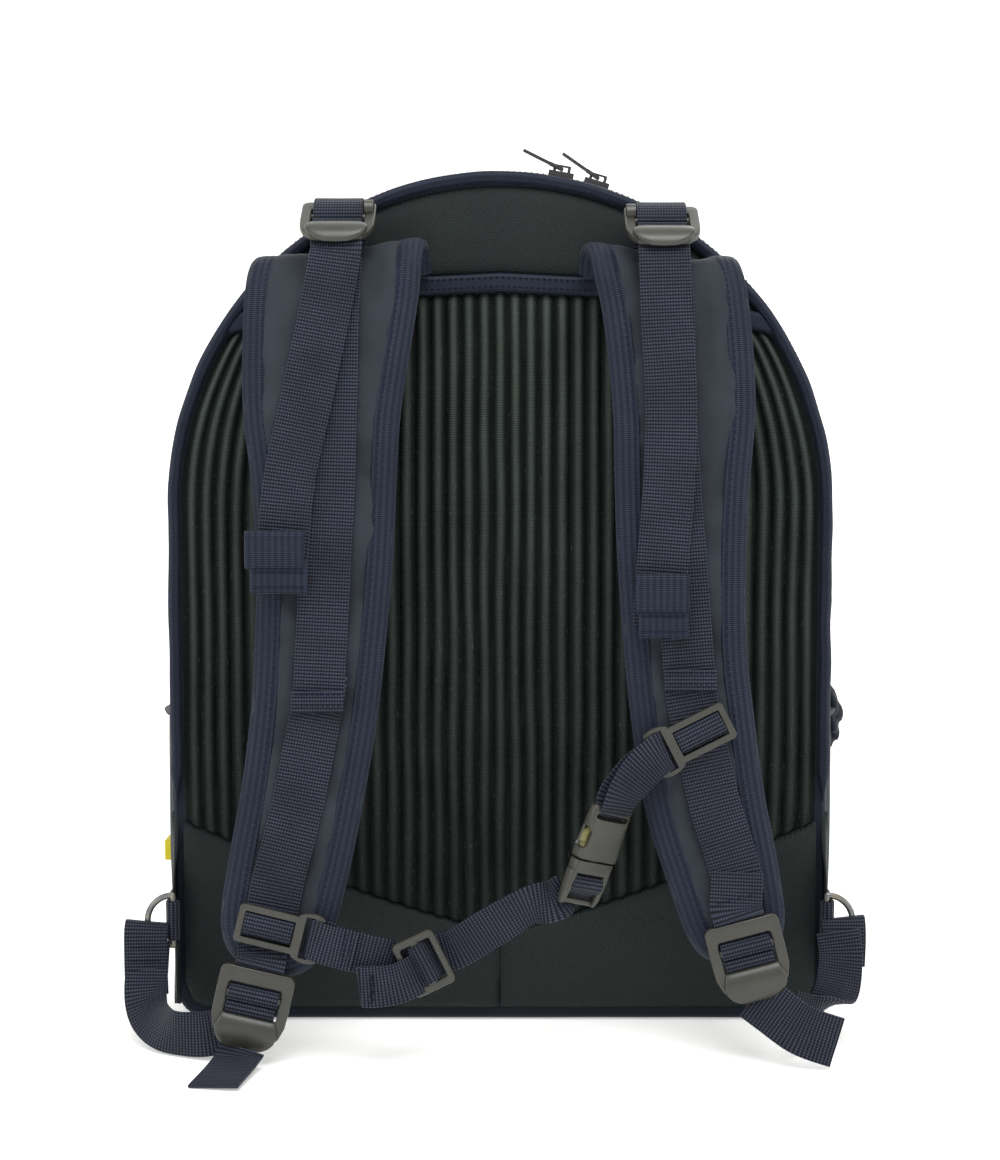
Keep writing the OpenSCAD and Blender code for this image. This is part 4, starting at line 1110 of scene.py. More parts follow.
LEFT_LOCK, LEFT_LEAN = np.array([-121.5, -148.5, 28]), 13
RIGHT_LOCK, RIGHT_LEAN = np.array([121.5, -147.5, 52]), -15
put_lock = {
    "strap_lock_left": lambda p: turned(p, "Y", LEFT_LEAN) + LEFT_LOCK,
    "strap_lock_right": lambda p: turned(p, "Y", RIGHT_LEAN) + RIGHT_LOCK,
    "lifter_lock_left": lambda p: turned(p, "X", -60) + (-80, BACK_Y - 34, LOCK_Z["left"]),
    "lifter_lock_right": lambda p: turned(p, "X", -60) + (80, BACK_Y - 34, LOCK_Z["right"]),
}
for node, put in put_lock.items():
    moulding(node + "_moulding", ladder_lock(), put, node, (node,))
    if node.startswith("lifter"):
        inner = 1 if node.endswith("left") else -1
        cap = rod((inner * 12.6, -1.6, 11.6), (inner * 17.6, -1.6, 11.6), 4.7, 22, 0.3)
        moulding(node + "_cap", cap, put, node, ())
    hump = put([(0, 3.8, 17), (0, 3.0, 12.8), (0, 0.4, 10.8), (0, -2.3, 8.4), (0, -2.6, 6.2), (0, -1.4, 3.8),
                (0, 1.8, 3.0)])
    if node.startswith("lifter"):
        hump = put([(0, 2.6, 20.9), (0, -0.6, 21.2), (0, -3.2, 19.2), (0, -4.4, 15.6), (0, -4.6, 11.6), (0, -3.8, 7.8),
                    (0, -1.8, 4.6), (0, 1.8, 3.4)])
    side = x_of(put)
    strip(node + "_loop", hump, side=side, width=WEB_W - 0.4, body=node, step=1.0, slack=0.1)
    second = put([(0, 2.2, 3.2), (0, 0.0, 2.4), (0, -1.4, 0.4), (0, -1.3, -1.8), (0, 0.2, -3.8), (0, 2.4, -5.0)])
    strip(node + "_second_loop", second, side=side, width=WEB_W - 0.8, body=node, step=1.0, slack=0.1)

# %% Sliders, triglide and rings
for node in ("sternum_slider_left", "sternum_slider_right", "sternum_triglide"):
    soften(node, "hardware_plastic", 0.9)
for node in ("zip_slider_left", "zip_slider_right", "zip_pull_left", "zip_pull_right"):
    soften(node, "dark_plastic", 0.3)
# The buckle prongs get the lighter finish that paints their highlight.
for node in ("buckle_prong_left", "buckle_prong_right"):
    soften(node, "prong_highlight_plastic", 0.5)
for node in ("d_ring_left", "d_ring_right"):
    soften(node, "gunmetal", 0)


LEFT_SLIDER = np.array([-112.5, -148.8, 68])
RIGHT_SLIDER = np.array([97.5, -139.8, 162.5])
put_slider = {"left": lambda p: turned(p, "Y", 14) + LEFT_SLIDER, "right": lambda p: turned(p, "Y", -27) + RIGHT_SLIDER}
for side, put in put_slider.items():
    across = x_of(put)
    hump = put([(0, 2.6, 8.5), (0, 2.0, 6.4), (0, -0.6, 5.0), (0, -1.9, 2.0), (0, -2.0, -1.5), (0, -0.6, -4.2),
                (0, 2.2, -5.2)])
    strip("slider_hump_" + side, hump, side=across, width=WEB_W - 1.0, body="sternum_slider_" + side, step=0.8,
          slack=0.1)

# %% Side-release buckle
BUCKLE = np.array([46, -143.5, 103])
put_buckle = lambda p: turned(turned(p, "Z", 38), "Y", 20) + BUCKLE


def carve(name, part, cutters, put, body, stands_for, finish="hardware_plastic"):
    """A moulding with hollows cut out of it, shaded smooth."""
    made = moulding(name, part, put, body, stands_for, finish)
    for points, faces in cutters:
        mesh = new_mesh("cutter", put(points), faces)
        work = bmesh.new()
        work.from_mesh(mesh)
        bmesh.ops.recalc_face_normals(work, faces=work.faces)
        work.to_mesh(mesh)
        work.free()
        tool = bpy.data.objects.new("cutter", mesh)
        scene.collection.objects.link(tool)
        cut = made.modifiers.new("cut", "BOOLEAN")
        cut.operation, cut.object, cut.solver = "DIFFERENCE", tool, "EXACT"
        view = made.evaluated_get(bpy.context.evaluated_depsgraph_get())
        result = bpy.data.meshes.new_from_object(view)
        made.modifiers.clear()
        made.data = result
        bpy.data.objects.remove(tool)
    result.polygons.foreach_set("use_smooth", [True] * len(result.polygons))
    result.set_sharp_from_angle(angle=math.radians(35))
    return made


female = bar([((0, 0, -2.0), 12.0, 3.9), ((0, 0, -1.4), 12.5, 4.4), ((0, 0, 3), 12.5, 4.5), ((0, 0, 9), 11.9, 4.5),
              ((0, 0, 15), 11.7, 4.3), ((0, 0, 17.5), 12.2, 3.7), ((0, 0, 19), 12.5, 3.0), ((0, 0, 24), 12.4, 2.7),
              ((0, 0, 25.0), 11.6, 2.0)], 36, 6.0)
cavity = bar([((0, 0, -4), 11.2, 2.4), ((0, 0, 14.5), 11.2, 2.4)], 24, 8.0)
windows = [bar([((s * 13.6, 0, 2.4), 0.8, 1.2), ((s * 13.6, 0, 3.4), 2.6, 3.8), ((s * 13.6, 0, 5), 3.6, 5.2),
                ((s * 13.6, 0, 11.5), 3.6, 5.2), ((s * 13.6, 0, 13.4), 2.6, 3.8), ((s * 13.6, 0, 14.4), 0.8, 1.2)],
                20, 3.0)
           for s in (-1, 1)]
slot = bar([((0, -9, 20.1), 10.4, 1.7), ((0, 9, 20.1), 10.4, 1.7)])
slot = (np.array([(x, -9 if i < 20 else 9, 20.1 + (y + (9 if i < 20 else -9))) for i,
                  (x, y, z) in enumerate(slot[0])]), slot[1])
carve("buckle_female_moulding", female, [cavity, slot] + windows, put_buckle, "sternum_slider_right",
      ("buckle_female",))

legs = [bar([((s * 10.4, 0, -8.6), 1.9, 3.2), ((s * 10.5, 0, -9.6), 2.0, 3.4), ((s * 10.6, 0, -17), 1.7, 3.0),
             ((s * 10.6, 0.2, -23), 1.6, 2.4), ((s * 10.3, 0.6, -26), 1.2, 1.6)], 20, 3.0) for s in (-1, 1)]
head = bar([((0, 0, -9.4), 11.4, 3.2), ((0, 0, -8.6), 12.0, 3.8), ((0, 0, -4.0), 12.2, 4.0),
            ((0, 0, -3.1), 11.8, 3.6)], 36, 6.0)
tongue = bar([((0, 0, -3.5), 3.2, 1.8), ((0, 0, 10.5), 3.0, 1.7), ((0, 0, 11.5), 2.4, 1.2)], 16, 4.0)
male = together(head, tongue, *legs, rod((-10.5, 1, -24.6), (10.5, 1, -24.6), 1.5),
                rod((-10.5, -0.6, -15), (10.5, -0.6, -15), 1.5))
moulding("buckle_male_moulding", male, put_buckle, "buckle_male", ("buckle_male",))
print("hardware: 4 ladder locks, 2 sliders, 1 triglide, 1 buckle")

# %% [markdown]
# ## Sternum strap
# The sternum strap is lighter webbing. On the left it is sewn round the slider's loop, runs through the
# triglide, crosses the back and threads the male half of the buckle. On the right a short doubled piece
# ties the female half to its slider. Each end is folded and stitched, with the cut edge melted.

# %% Sternum webbing
STERNUM_W = 20.0
STERNUM_LEFT = [(-81, -148.4, 59.5), (-72, -150.2, 57.4), (-60, -150.6, 54.4), (-51, -148.4, 51.2), (-46, -147.2, 49.4),
                (-41.5, -149.4, 49.5), (-38.6, -153.4, 50.6), (-35.4, -153.5, 52.2), (-32.4, -149.6, 53.8),
                (-27.5, -147.0, 55.8),
                (-20, -147.6, 58.6), (-2, -148.6, 70), (14, -147.6, 79), (26, -146.5, 81)]
LEFT_SIDE = ([(0.15, 0, 1)] * 2 + [(0.0, 0, 1), (-0.3, 0, 1)] + [(-0.438, 0, 0.9)] * 6
             + [(-0.45, 0, 1)] * 2 + [(-0.3, -0.2, 1), (-0.5, 0.4, 1)])
buckle_side = put_buckle([(1, 0, 0)])[0] - BUCKLE
end_hump = put_buckle([(0, 3.6, -23), (0, 1.2, -20.4), (0, -2.4, -17.2), (0, -2.9, -14.4), (0, -1.4, -11.6),
                       (0, 2.4, -11.0)])
cross = strip("sternum_webbing_cloth", STERNUM_LEFT + [tuple(end_hump[1] + (-6.5, 0.5, 0.5))], width=STERNUM_W,
              side=LEFT_SIDE + [(-0.62, -0.4, 0.65)],
              rests_on=["sternum_slider_left", "buckle_male_moulding"],
              stands_for=("sternum_webbing_left",), slack=0.5)
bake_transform(cross)
strip("buckle_male_loop", end_hump, side=buckle_side, width=STERNUM_W - 0.4, body="buckle_male", step=1.0, slack=0.1)
loop = [(-70.5, -153.0, 57.2), (-76, -152.6, 58.6), (-83, -152.2, 60.3), (-89.7, -151.5, 62.3), (-93.1, -148.8, 63.2),
        (-89.5, -146.2, 62.2), (-82, -146.2, 60)]
strip("sternum_loop_left", loop, side=(0.2, 0, 1), width=STERNUM_W - 0.5, body="sternum_slider_left", step=1.2,
      slack=0.15)
rows = [np.array([(x - 1.4, -153.8, 49.6), (x + 1.6, -153.8, 67.2)]) for x in (-72.6, -75.8)]
stitch_row("sternum_loop_stitches", rows, [np.tile([-0.2, -1.0, 0], (2, 1))] * 2, "thread", "sternum_slider_left",
           1.8, 0.8, 0.3)
hem = [(-39.5, -151.2, 46.5), (-44.5, -154.6, 44.4), (-50, -156.8, 42.8), (-57, -157.6, 41.6), (-64, -156.4, 40.8),
       (-67.2, -155.2, 40.6),
       (-67.6, -153.8, 40.6), (-64, -153.4, 40.8), (-56, -154.8, 41.4)]
strip("triglide_hem", hem, side=[(-0.42, 0, 0.9)] * 3 + [(-0.2, 0.1, 1)] * 6, width=STERNUM_W - 0.5,
      body="sternum_triglide", step=1.2, slack=0.4)
hem_row = np.array([(-61.8 + (1.5 if i % 2 else -1.5), -158.2, 33.4 + i * 1.8) for i in range(9)])
stitch_row("triglide_hem_stitches", [hem_row], [facing_out(9)], "dark_thread", "sternum_triglide",
           2.0, 0.3, 0.35)

slider_side = (0.454, 0, -0.891)
short = [(80.3, -140.6, 153.9), (77.0, -143.3, 152.2), (70.5, -145.6, 147.0), (64, -147.0, 139.5),
         (59.5, -147.2, 132.5),
         tuple(put_buckle([(0, -3.6, 24.5)])[0]), tuple(put_buckle([(0, 0.4, 20.2)])[0])]
short_side = [slider_side] * 3 + [(0.6, 0.25, -0.75), (0.7, 0.5, -0.45)] + [tuple(buckle_side)] * 2
strip("sternum_webbing_short", short, side=short_side, width=STERNUM_W - 0.4, body="sternum_slider_right", step=1.5,
      stands_for=("sternum_webbing_right",), rests_on=["sternum_slider_right"], slack=0.2)
under = [(76, -139.2, 150.5), (68, -141.4, 145.5), (60.5, -143.4, 138.5), (55.5, -144.2, 130.5),
         tuple(put_buckle([(-0.5, -1.6, 21.2)])[0])]
strip("sternum_short_under", under, side=[slider_side] * 2 + [(0.6, 0.25, -0.75)] * 2 + [tuple(buckle_side)],
      width=STERNUM_W - 1,
      body="sternum_slider_right", step=1.5, slack=0.3)

# %% [markdown]
# ## Lower webbing
# From each D-ring a webbing runs down, turns under the pack's corner and ends behind the ladder lock at
# the tip of the strap. The free tail leaves the lock's lip and lies forward on the ground.

# %% Loops and tails of the lower webbing
LOWER_W = 22.0
LOWER = {
    "left": ([(-180, -92, 48), (-180.6, -95, 34), (-180, -104, 20), (-174, -118, 13.5), (-163, -133, 12),
              (-148, -139.5, 12.5), (-137, -140.5, 14.5)],
             [(1, 0, 0), (1, 0, 0), (1, -0.1, 0.2), (0.8, -0.4, 0.5), (0.5, -0.3, 0.9), (0.2, 0.1, 1), (0.1, 0.2, 1)]),
    "right": ([(172, -99, 54), (173, -103, 40), (168, -118, 26), (155, -133, 20), (143, -141, 24)],
              [(1, 0, 0), (1, 0, 0), (1, 0.3, 0.3), (0.6, 0.3, 0.8), (0.3, 0.2, 1)]),
}
TAILS = {
    "left": ([(-125.5, -151.2, 9.5), (-127, -153.5, 6), (-129, -160, 4), (-132, -172, 2.6), (-135, -187, 1.8)],
             (1, -0.3, 0.05)),
    "right": ([(124, -146.4, 34), (132, -149.4, 28.5), (146, -155, 19.5), (163, -158, 14)], (0.45, 0, 1)),
}
for side, sign in (("left", -1), ("right", 1)):
    route, widths_run = LOWER[side]
    web = strip("lower_webbing_cloth_" + side, route, side=widths_run, width=LOWER_W,
                rests_on=["d_ring_" + side],
                stands_for=("lower_webbing_" + side,), slack=0.5)
    x, y, z = route[0]
    "strap_" + side
    x * MM
    y * MM
    z * MM
    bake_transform(web)
    route, tail_side = TAILS[side]
    strip("lower_tail_cloth_" + side, route, side=tail_side, body="strap_lock_" + side,
          stands_for=("lower_tail_" + side,),
          rests_on=["strap_lock_%s_moulding" % side], slack=0.5)

# %% Webbing on the rings and the anchors of the locks
for side, sign in (("left", -1), ("right", 1)):
    x = sign * 181 if side == "left" else sign * 176
    end_side = (1, 0.05, 0.1 * sign)
    top = 55 if side == "left" else 57
    outer = [(x, -93.5, 20 if side == "left" else 34), (x, -95.2, 33 if side == "left" else 44), (x, -95.0, top - 5),
             (x, -92.6, top)]
    strip("ring_end_" + side, outer + [(x, -89.5, top + 1.4), (x, -86.6, top - 1.0), (x, -87, top - 8)], side=end_side,
          width=LOWER_W, body="pack", step=1.2, slack=0.6)
    row_x = np.linspace(x - 8, x + 8, 9)
    rows = [np.stack([row_x, np.full(9, -96.9), np.full(9, h)], axis=1) for h in (top - 10, top - 17)]
    stitch_row("ring_end_stitches_" + side, rows, [facing_out(9)] * 2, "dark_thread", "pack", 1.6,
               0.8, 0.3)

for side, sign in (("left", -1), ("right", 1)):
    drop = 0 if side == "left" else -2
    x, at = sign * 80, lambda y, z: (sign * 80, y, z + drop)
    anchor = [at(-75.2, 394), at(-77.6, 402), at(-79.4, 410), at(-83.5, 417), at(-88.6, 421.8), at(-92.2, 419.6),
              at(-90.4, 415.6),
              at(-86.4, 412.6)]
    strip("lifter_anchor_cloth_" + side, anchor, width=WEB_W, body="pack", stands_for=("lifter_anchor_" + side,),
          step=1.0, slack=0.25)

for side, lean, centre, pad_tip in (("left", LEFT_LEAN, LEFT_LOCK, (-116, -143.0, 62)),
                                    ("right", RIGHT_LEAN, RIGHT_LOCK, (115.6, -141.4, 94))):
    put = put_lock["strap_lock_" + side]
    across = x_of(put)
    near, bar_top = put([(0, 1.0, 26)])[0], put([(0, -1.4, 21.4), (0, 0.6, 21.0), (0, 3.4, 18), (0, 2.8, 12)])
    anchor = [tuple(pad_tip), tuple(np.array(pad_tip) * 0.5 + near * 0.5), tuple(near)] + [tuple(p) for p in bar_top]
    strip("lock_anchor_" + side, anchor, side=[(1, 0,
                                                0)] + [tuple((1, 0,
                                                              0) * np.array(0.5) + across * 0.5)] + [tuple(across)] * 5,
          width=24 if side == "left" else 25, body="strap_" + side, step=1.2, slack=0.2)
    mid = (np.array(pad_tip) * 0.3 + near * 0.7)
    row = np.array([mid + across * r - (0, 1.6, 0) for r in (-10.5, 10.5)])
    stitch_row("lock_anchor_stitches_" + side, [row], [facing_out(2)], "thread", "strap_" + side,
               1.7, 0.9, 0.3)

# %% [markdown]
# ## Side seams
# Where the side seam meets the back, a wing of grained cloth stands out behind the ring, and a webbing
# tab folds round the ring's straight bar and is sewn into the seam.

# %% Wings and ring tabs
RING_Z = 57.0
for side, sign in (("left", -1), ("right", 1)):
    levels = np.concatenate([np.linspace(8, 44, 13), np.linspace(46, 70, 9), np.linspace(72, 110, 14)])
    rings = []
    for z in levels:
        out = 13 * np.interp(z, [8, 44, 70, 110], [0.02, 1, 1, 0.02])
        thick = 0.75 + 0.25 * math.sin(z / 7)
        ripple = 0.5 * math.sin(z / 9.5) * out / 13
        front, back = BACK_Y - out, BACK_Y + 0.5
        middle_front, middle_back = 167.95 + ripple, 169.6
        rings.append([(sign * (middle_back - thick), back, z), (sign * (middle_front - thick), front + 0.5, z),
                      (sign * middle_front, front, z),
                      (sign * (middle_front + thick), front + 0.5, z), (sign * (middle_back + thick), back, z)][::sign])
    moulding_mesh = loft_mesh("wing_cloth_" + side, np.array(rings))
    add_piece("wing_cloth_" + side, moulding_mesh, "grained_fabric", "pack", ("wing_" + side,), 60)
    put = lambda p: [(sign * x, y, z) for x, y, z in p]
    tab = put([(171.9, -56, RING_Z), (172.0, -66, RING_Z), (171.3, -74, RING_Z), (170.6, -80, RING_Z),
               (171.0, -85, RING_Z), (170.7, -88.4, RING_Z),
               (168.4, -91.0, RING_Z), (165.6, -89.4, RING_Z), (165.4, -86.6, RING_Z), (167.4, -84.4, RING_Z),
               (169.0, -80.0, RING_Z)])
    strip("ring_tab_cloth_" + side, tab, side=(0, 0, 1), width=20, body="pack", stands_for=("ring_tab_" + side,),
          step=1.0, slack=0.2)
    lens_y, half_h = -84.5, 17
    heights = np.linspace(-half_h, half_h, 15)
    rings = [[(sign * (166.2 + math.cos(a) * 1.1),
               lens_y - 1.0 + math.sin(a) * (0.4 + 3.6 * (1 - (h / half_h) ** 2)), 30 + h)
              for a in np.linspace(0, 2 * math.pi, 16, endpoint=False)][::sign] for h in heights]
    if side == "left":
        add_piece("seam_end_" + side, loft_mesh("seam_end", np.array(rings)), "grained_fabric", "pack", (), 60)
print("lower webbing, rings and wings done")

# %% [markdown]
# ## Zip
# The main zip runs over the curved top. Two soft tapes carry a coil of teeth between them; the sliders
# are the CAD pieces, and sit on the coil near the top.

# %% Zip tapes and coil
ZIP_Y, ZIP_END, TAPE_T, COIL_T = -56.0, 178.0, 0.9, 1.6


def over_top(radius, step=4.0):
    """Points over the curved top at one radius, from the left end of the zip to the right."""
    legs = np.arange(ZIP_END, ARCH_Z, step)
    arc = np.radians(np.linspace(180, 0, 90))
    left = [(-radius, ZIP_Y, z) for z in legs]
    top = [(radius * math.cos(a), ZIP_Y, ARCH_Z + radius * math.sin(a)) for a in arc]
    return np.array(left + top + [(radius, ZIP_Y, z) for z in legs[::-1]])


for name, lo, hi in (("zip_tape_back", -13, -2.2), ("zip_tape_front", 2.2, 13)):
    s, path, _ = evenly(4.0, over_top(ARCH_R + TAPE_T / 2), np.tile([0, 1.0, 0], (len(over_top(ARCH_R)), 1)))
    out = unit(np.stack([path[:, 0], np.zeros(len(path)), np.maximum(path[:, 2] - ARCH_Z, 0)], axis=1))
    rings = []
    for p, n in zip(path, out):
        rings.append([p + (0, y, 0) + n * h for y,
                      h in ((lo, -0.3), (lo + 0.2, 0.3), ((lo + hi) / 2, 0.45), (hi - 0.2, 0.4), (hi, -0.3))])
    rings = np.array(rings)
    mesh = loft_mesh(name, rings, across=np.array([lo, lo, (lo + hi) / 2, hi, hi]) - lo)
    add_piece(name, mesh, "binding", "pack", ("zip_tape",) if "back" in name else ())
s, path, _ = evenly(0.75, over_top(ARCH_R + TAPE_T + COIL_T / 2), np.tile([0, 1.0, 0], (len(over_top(ARCH_R)), 1)))
out = unit(np.stack([path[:, 0], np.zeros(len(path)), np.maximum(path[:, 2] - ARCH_Z, 0)], axis=1))
points, faces = [], []
for side in (-1, 1):
    turn_at = s / 3.0 * 2 * math.pi + (0 if side < 0 else math.pi)
    coil = path + np.stack([np.zeros(len(s)), side * 1.3 + 1.1 * np.cos(turn_at), np.zeros(len(s))],
                           axis=1) + out * (0.45 * np.sin(turn_at))[:, None]
    section = ring_section(coil, out, 0.42, 5)
    faces += loft_faces(len(section), 5, base=len(points))
    points += list(section.reshape(-1, 3))
add_piece("zip_coil", new_mesh("zip_coil", np.array(points), faces), "dark_plastic", "pack")
print("zip coil faces", len(faces))

# %% [markdown]
# ## Sides
# Each side has a shallow gusseted pocket with a hemmed mouth. A small yellow tab is sewn on the left one,
# and folds of loose cloth are tucked into the mouth of the right one.

# %% Side pockets
SIDE_Z0, SIDE_Z1, SIDE_BULGE, SIDE_HALF, SIDE_Y = 24.0, 160.0, 9.0, 42.0, -6.0


def pocket_wall(sign, z, inset):
    """The pocket's outline at one height: a full curve that closes at the foot and gapes a little at the mouth."""
    share = (z - SIDE_Z0) / (SIDE_Z1 - SIDE_Z0)
    full = math.sin(math.pi * (0.12 + 0.6 * share)) ** 0.5
    y = np.linspace(-1, 1, 33)
    bulge = (SIDE_BULGE - inset) * full * (1 - np.abs(y) ** 3.2) ** 0.8
    pleat = 0.7 * np.sin(y * 9 + share * 5) * share * (1 - y * y)
    return [(sign * (170.2 + b + p), SIDE_Y + k * (SIDE_HALF - inset), z) for b, p, k in zip(bulge, pleat, y)]


for side, sign in (("left", -1), ("right", 1)):
    rings = []
    for z in np.linspace(SIDE_Z0, SIDE_Z1, 40):
        outer, inner = pocket_wall(sign, z, 0.0), pocket_wall(sign, z, 1.4)
        rings.append((outer + inner[::-1])[::-sign])
    add_piece("side_pocket_cloth_" + side, loft_mesh("side_pocket", np.array(rings)), "body_fabric", "pack",
              ("side_pocket_" + side,), 50)
    mouth = [np.array(pocket_wall(sign, z, 0.2)) for z in (SIDE_Z1 - 4.5, SIDE_Z1 - 1)]
    hem = mouth[0] * 0.5 + mouth[1] * 0.5 + (sign * 0.5, 0, 0)
    section = ring_section(hem, np.tile([sign * 1.0, 0, 0], (len(hem), 1)), 2.4, 12, 0.36)
    add_piece("side_pocket_hem_" + side, new_mesh("side_pocket_hem", section.reshape(-1, 3),
                                                  loft_faces(len(section), 12)), "binding", "pack")

soften("side_tab", "yellow_fabric", 0.8)


def crumple(name, centre, size, finish, seed, folds=3.0):
    """Loose folded cloth: a lump whose surface is creased by a few crossing folds."""
    work = bmesh.new()
    bmesh.ops.create_icosphere(work, subdivisions=4, radius=1.0)
    for v in work.verts:
        x, y, z = v.co
        crease = (abs(math.sin(folds * (x + 1.3 * z) + seed)) * 0.16
                  + abs(math.sin(folds * (z - 0.8 * y) * 1.3 + seed * 2)) * 0.14)
        r = 0.78 + crease - 0.1 * abs(math.sin(5 * y + seed))
        v.co = (centre[0] + x * r * size[0], centre[1] + y * r * size[1], centre[2] + z * r * size[2])
    points, faces = [tuple(v.co) for v in work.verts], [tuple(v.index for v in f.verts) for f in work.faces]
    work.free()
    return add_piece(name, new_mesh(name, points, faces), finish, "pack", (), 60)


crumple("tucked_cloth", (178.4, -6, 152), (8.6, 20, 19), "body_fabric", 1.7)

# %% [markdown]
# ## Solar side
# The front pocket carries the panel. Its cells sit on a backing sheet under a clear film, and a stitched
# frame of cloth holds the edges down. Cells have cut corners and two printed bars.

# %% Solar panel
SOLAR_W, SOLAR_H, SOLAR_Z, BEZEL, SOLAR_Y = 196.0, 232.0, 110.0, 10.0, 84.0
COLS, ROWS, CELL_GAP = 4, 6, 3.0
CELL_Y, BAR_Y, CELL_CUT, BAR_HALF = (85.2, 85.7), (85.55, 85.85), 4.0, 0.6


def frame_ring(half_w, half_h, y, r, count=10):
    cz = SOLAR_Z + SOLAR_H / 2
    return [(x, y, z) for x, z in rounded(-half_w, half_w, cz - half_h, cz + half_h, r, count)]


rings = []
for inset, y in ((0.2, 84.05), (0.2, 85.6), (1.0, 86.8), (3, 87.4), (7, 87.5), (9.2, 87.0), (9.9, 86.0), (9.9, 84.05)):
    rings.append(frame_ring(SOLAR_W / 2 - inset, SOLAR_H / 2 - inset, y, 12 - inset * 0.6))
rings.append(rings[0])
mesh = loft_mesh("solar_bezel_cloth", np.array(rings), caps=False)
work = bmesh.new()
work.from_mesh(mesh)
bmesh.ops.remove_doubles(work, verts=work.verts, dist=0.000005)
bmesh.ops.recalc_face_normals(work, faces=work.faces)
work.to_mesh(mesh)
work.free()
add_piece("solar_bezel_cloth", mesh, "grained_fabric", "pack", ("solar_bezel",), 60)
rows = [np.array(frame_ring(SOLAR_W / 2 - inset, SOLAR_H / 2 - inset, 87.9,
                            12 - inset * 0.6) + frame_ring(SOLAR_W / 2 - inset, SOLAR_H / 2 - inset, 87.9,
                                                           12 - inset * 0.6)[:1])
        for inset in (2.6, 8.0)]
stitch_row("solar_bezel_stitches", rows, [np.tile([0, 1.0, 0], (len(r), 1)) for r in rows], "thread", "pack", 2.6,
           1.4, 0.35)

cell_w = (SOLAR_W - 2 * BEZEL - (COLS + 1) * CELL_GAP) / COLS
cell_h = (SOLAR_H - 2 * BEZEL - (ROWS + 1) * CELL_GAP) / ROWS
points, faces, bar_points, bar_faces = [], [], [], []


def block(x0, x1, y0, y1, z0, z1, cut, points, faces):
    """A flat plate facing +Y with cut corners."""
    loop = [(x0 + cut, z0), (x1 - cut, z0), (x1, z0 + cut), (x1, z1 - cut), (x1 - cut, z1), (x0 + cut, z1),
            (x0, z1 - cut), (x0, z0 + cut)]
    faces += loft_faces(2, 8, base=len(points))
    points += [(x, y0, z) for x, z in loop] + [(x, y1, z) for x, z in loop]


for i in range(COLS):
    for j in range(ROWS):
        x = -SOLAR_W / 2 + BEZEL + CELL_GAP + i * (cell_w + CELL_GAP)
        z = SOLAR_Z + BEZEL + CELL_GAP + j * (cell_h + CELL_GAP)
        block(x, x + cell_w, *CELL_Y, z, z + cell_h, CELL_CUT, points, faces)
        for k in (0.3, 0.7):
            block(x + cell_w * k - BAR_HALF, x + cell_w * k + BAR_HALF, *BAR_Y, z + 0.6, z + cell_h - 0.6, 0.1,
                  bar_points, bar_faces)
add_piece("cut_cells", new_mesh("cut_cells", points, faces), "solar_cell", "pack", ("solar_cells",), 30)
finishes["silver_bars"] = grainy("silver_bars", "#8d929b", "#b4b9c1", 0.5, 0.35, metallic=0.7)
add_piece("cell_bars", new_mesh("cell_bars", bar_points, bar_faces), "silver_bars", "pack", (), 30)
soften("solar_backing", "board", 0)
soften("solar_film", "clear_film", 0)

# %% [markdown]
# ## Inside
# The laptop sleeve and the back foam are soft, so they are remade with rounded edges. The power bank, the
# junction box, the leads and the port keep their CAD shape.

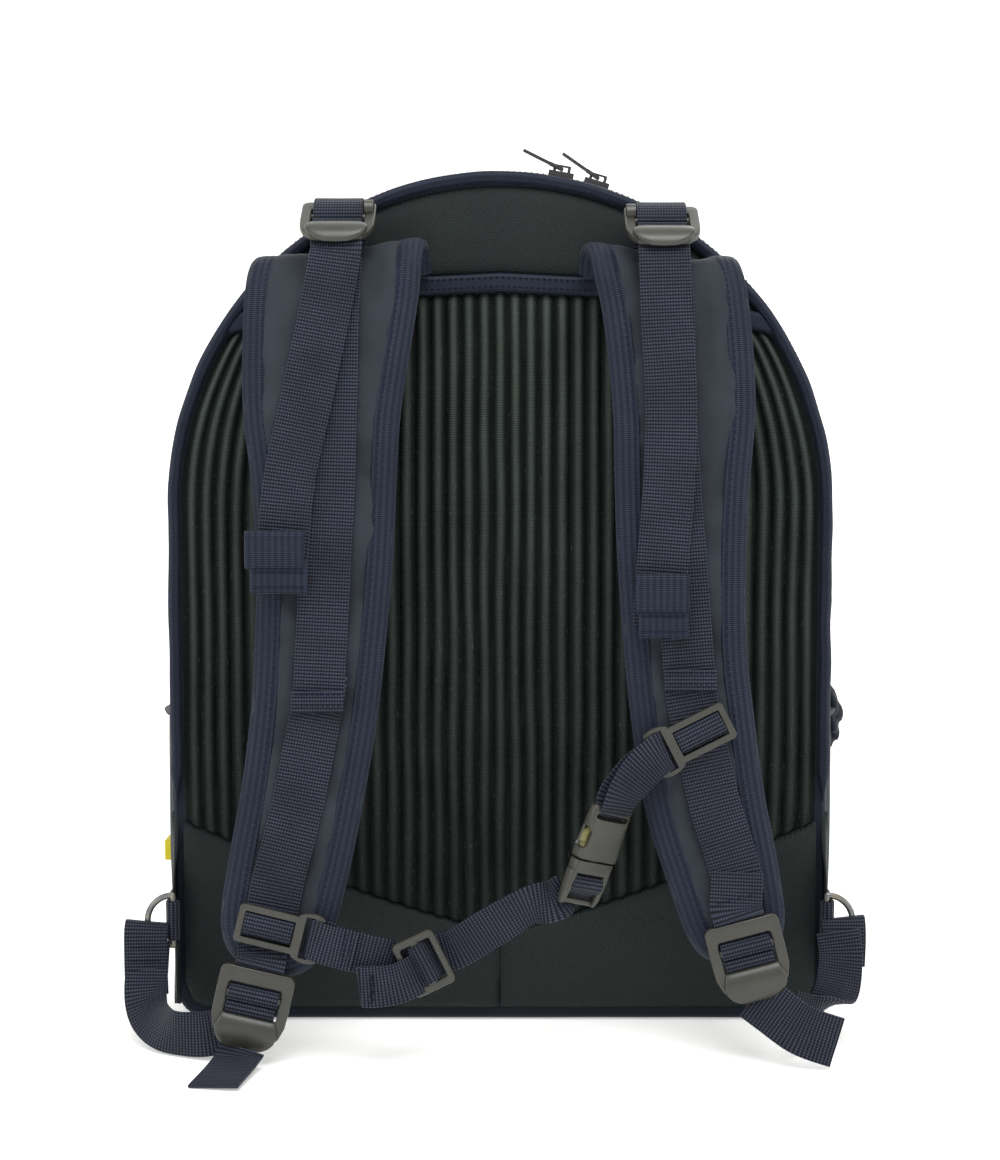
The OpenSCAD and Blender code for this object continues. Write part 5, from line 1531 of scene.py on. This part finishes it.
# %% Sleeve, foam and electronics
def sleeve():
    """An open pouch: rounded walls around a slot that is open at the top."""
    y0, depth, half, z0, top = -64.5, 26.0, 135.0, 14.0, 294.0
    section = lambda inset: [(x, z) for x,
                             z in rounded(-half + inset, half - inset, y0 + inset, y0 + depth - inset,
                                          max(1.2, 5 - inset))]
    rings = [[(x, y, z0 + 3) for x, y in section(4)], [(x, y, z0 + 0.8) for x, y in section(1.2)],
             [(x, y, z0 + 3) for x, y in section(0)]]
    rings += [[(x, y + 0.8 * math.sin(x / 40 + z / 60), z) for x,
               y in section(0)] for z in np.linspace(30, top - 3, 14)]
    rings += [[(x, y, top - 0.4) for x, y in section(0.6)], [(x, y, top) for x, y in section(1.6)],
              [(x, y, top - 0.6) for x, y in section(2.6)]]
    rings += [[(x, y, z) for x, y in section(3)] for z in np.linspace(top - 4, z0 + 8,
                                                                      12)] + [[(x, y, z0 + 4.6) for x, y in section(5)]]
    return loft_mesh("laptop_sleeve_cloth", np.array(rings))


add_piece("laptop_sleeve_cloth", sleeve(), "grained_fabric", "pack", ("laptop_sleeve",), 60)
rings = [[(x, y, z) for x, z in outline(2.6 + inset, 1)] for inset,
         y in ((2.0, -69.95), (0.6, -69.6), (0, -68.6), (0, -67.4), (0.6, -66.5), (2.0, -66.05))]
add_piece("back_foam_pad", loft_mesh("back_foam_pad", np.array(rings)), "foam", "pack", ("back_foam",), 60)
for node, finish, width in (("power_bank", "power_case", 2.0), ("junction_box", "hardware_plastic", 1.0),
                            ("usb_port", "hardware_plastic", 0.5),
                            ("panel_lead", "cable", 0), ("usb_lead", "cable", 0), ("base_board", "board", 0.5),
                            ("frame_sheet", "board", 0)):
    soften(node, finish, width)
print("inside done")

# %% Floor (stage)
def studio_floor():
    """A pale sweep: flat under the pack, curving up behind it."""
    back = [(-12.0, 0.0), (0.7, 0.0)] + [(0.7 + 0.8 * math.sin(a), 0.8 - 0.8 * math.cos(a))
                                      for a in np.radians(np.linspace(10, 90, 9))] + [(1.5, 3.0)]
    verts = [(x, y, z) for y, z in back for x in (-12.0, 12.0)]
    faces = [(2 * i, 2 * i + 1, 2 * i + 3, 2 * i + 2) for i in range(len(back) - 1)]
    mesh = bpy.data.meshes.new("floor")
    mesh.from_pydata(verts, [], faces)
    floor = bpy.data.objects.new("floor", mesh)
    scene.collection.objects.link(floor)
    paper = Finish("paper")
    x, y, z, far = paper.place()
    mesh.materials.append(paper.wear(paper.blend(paper.noise(far, 400), shade("#eeeeec"), shade("#f6f6f4")), None))
    paper.shader.inputs["Roughness"].default_value = 0.9
    paper.shader.inputs["Emission Color"].default_value = shade("#f4f4f2")
    paper.shader.inputs["Emission Strength"].default_value = 0.35
    mesh.polygons.foreach_set("use_smooth", [True] * len(mesh.polygons))
    floor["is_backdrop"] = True


studio_floor()

# %% Close
low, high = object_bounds()
print("size:", [round(v / MM) for v in high - low])
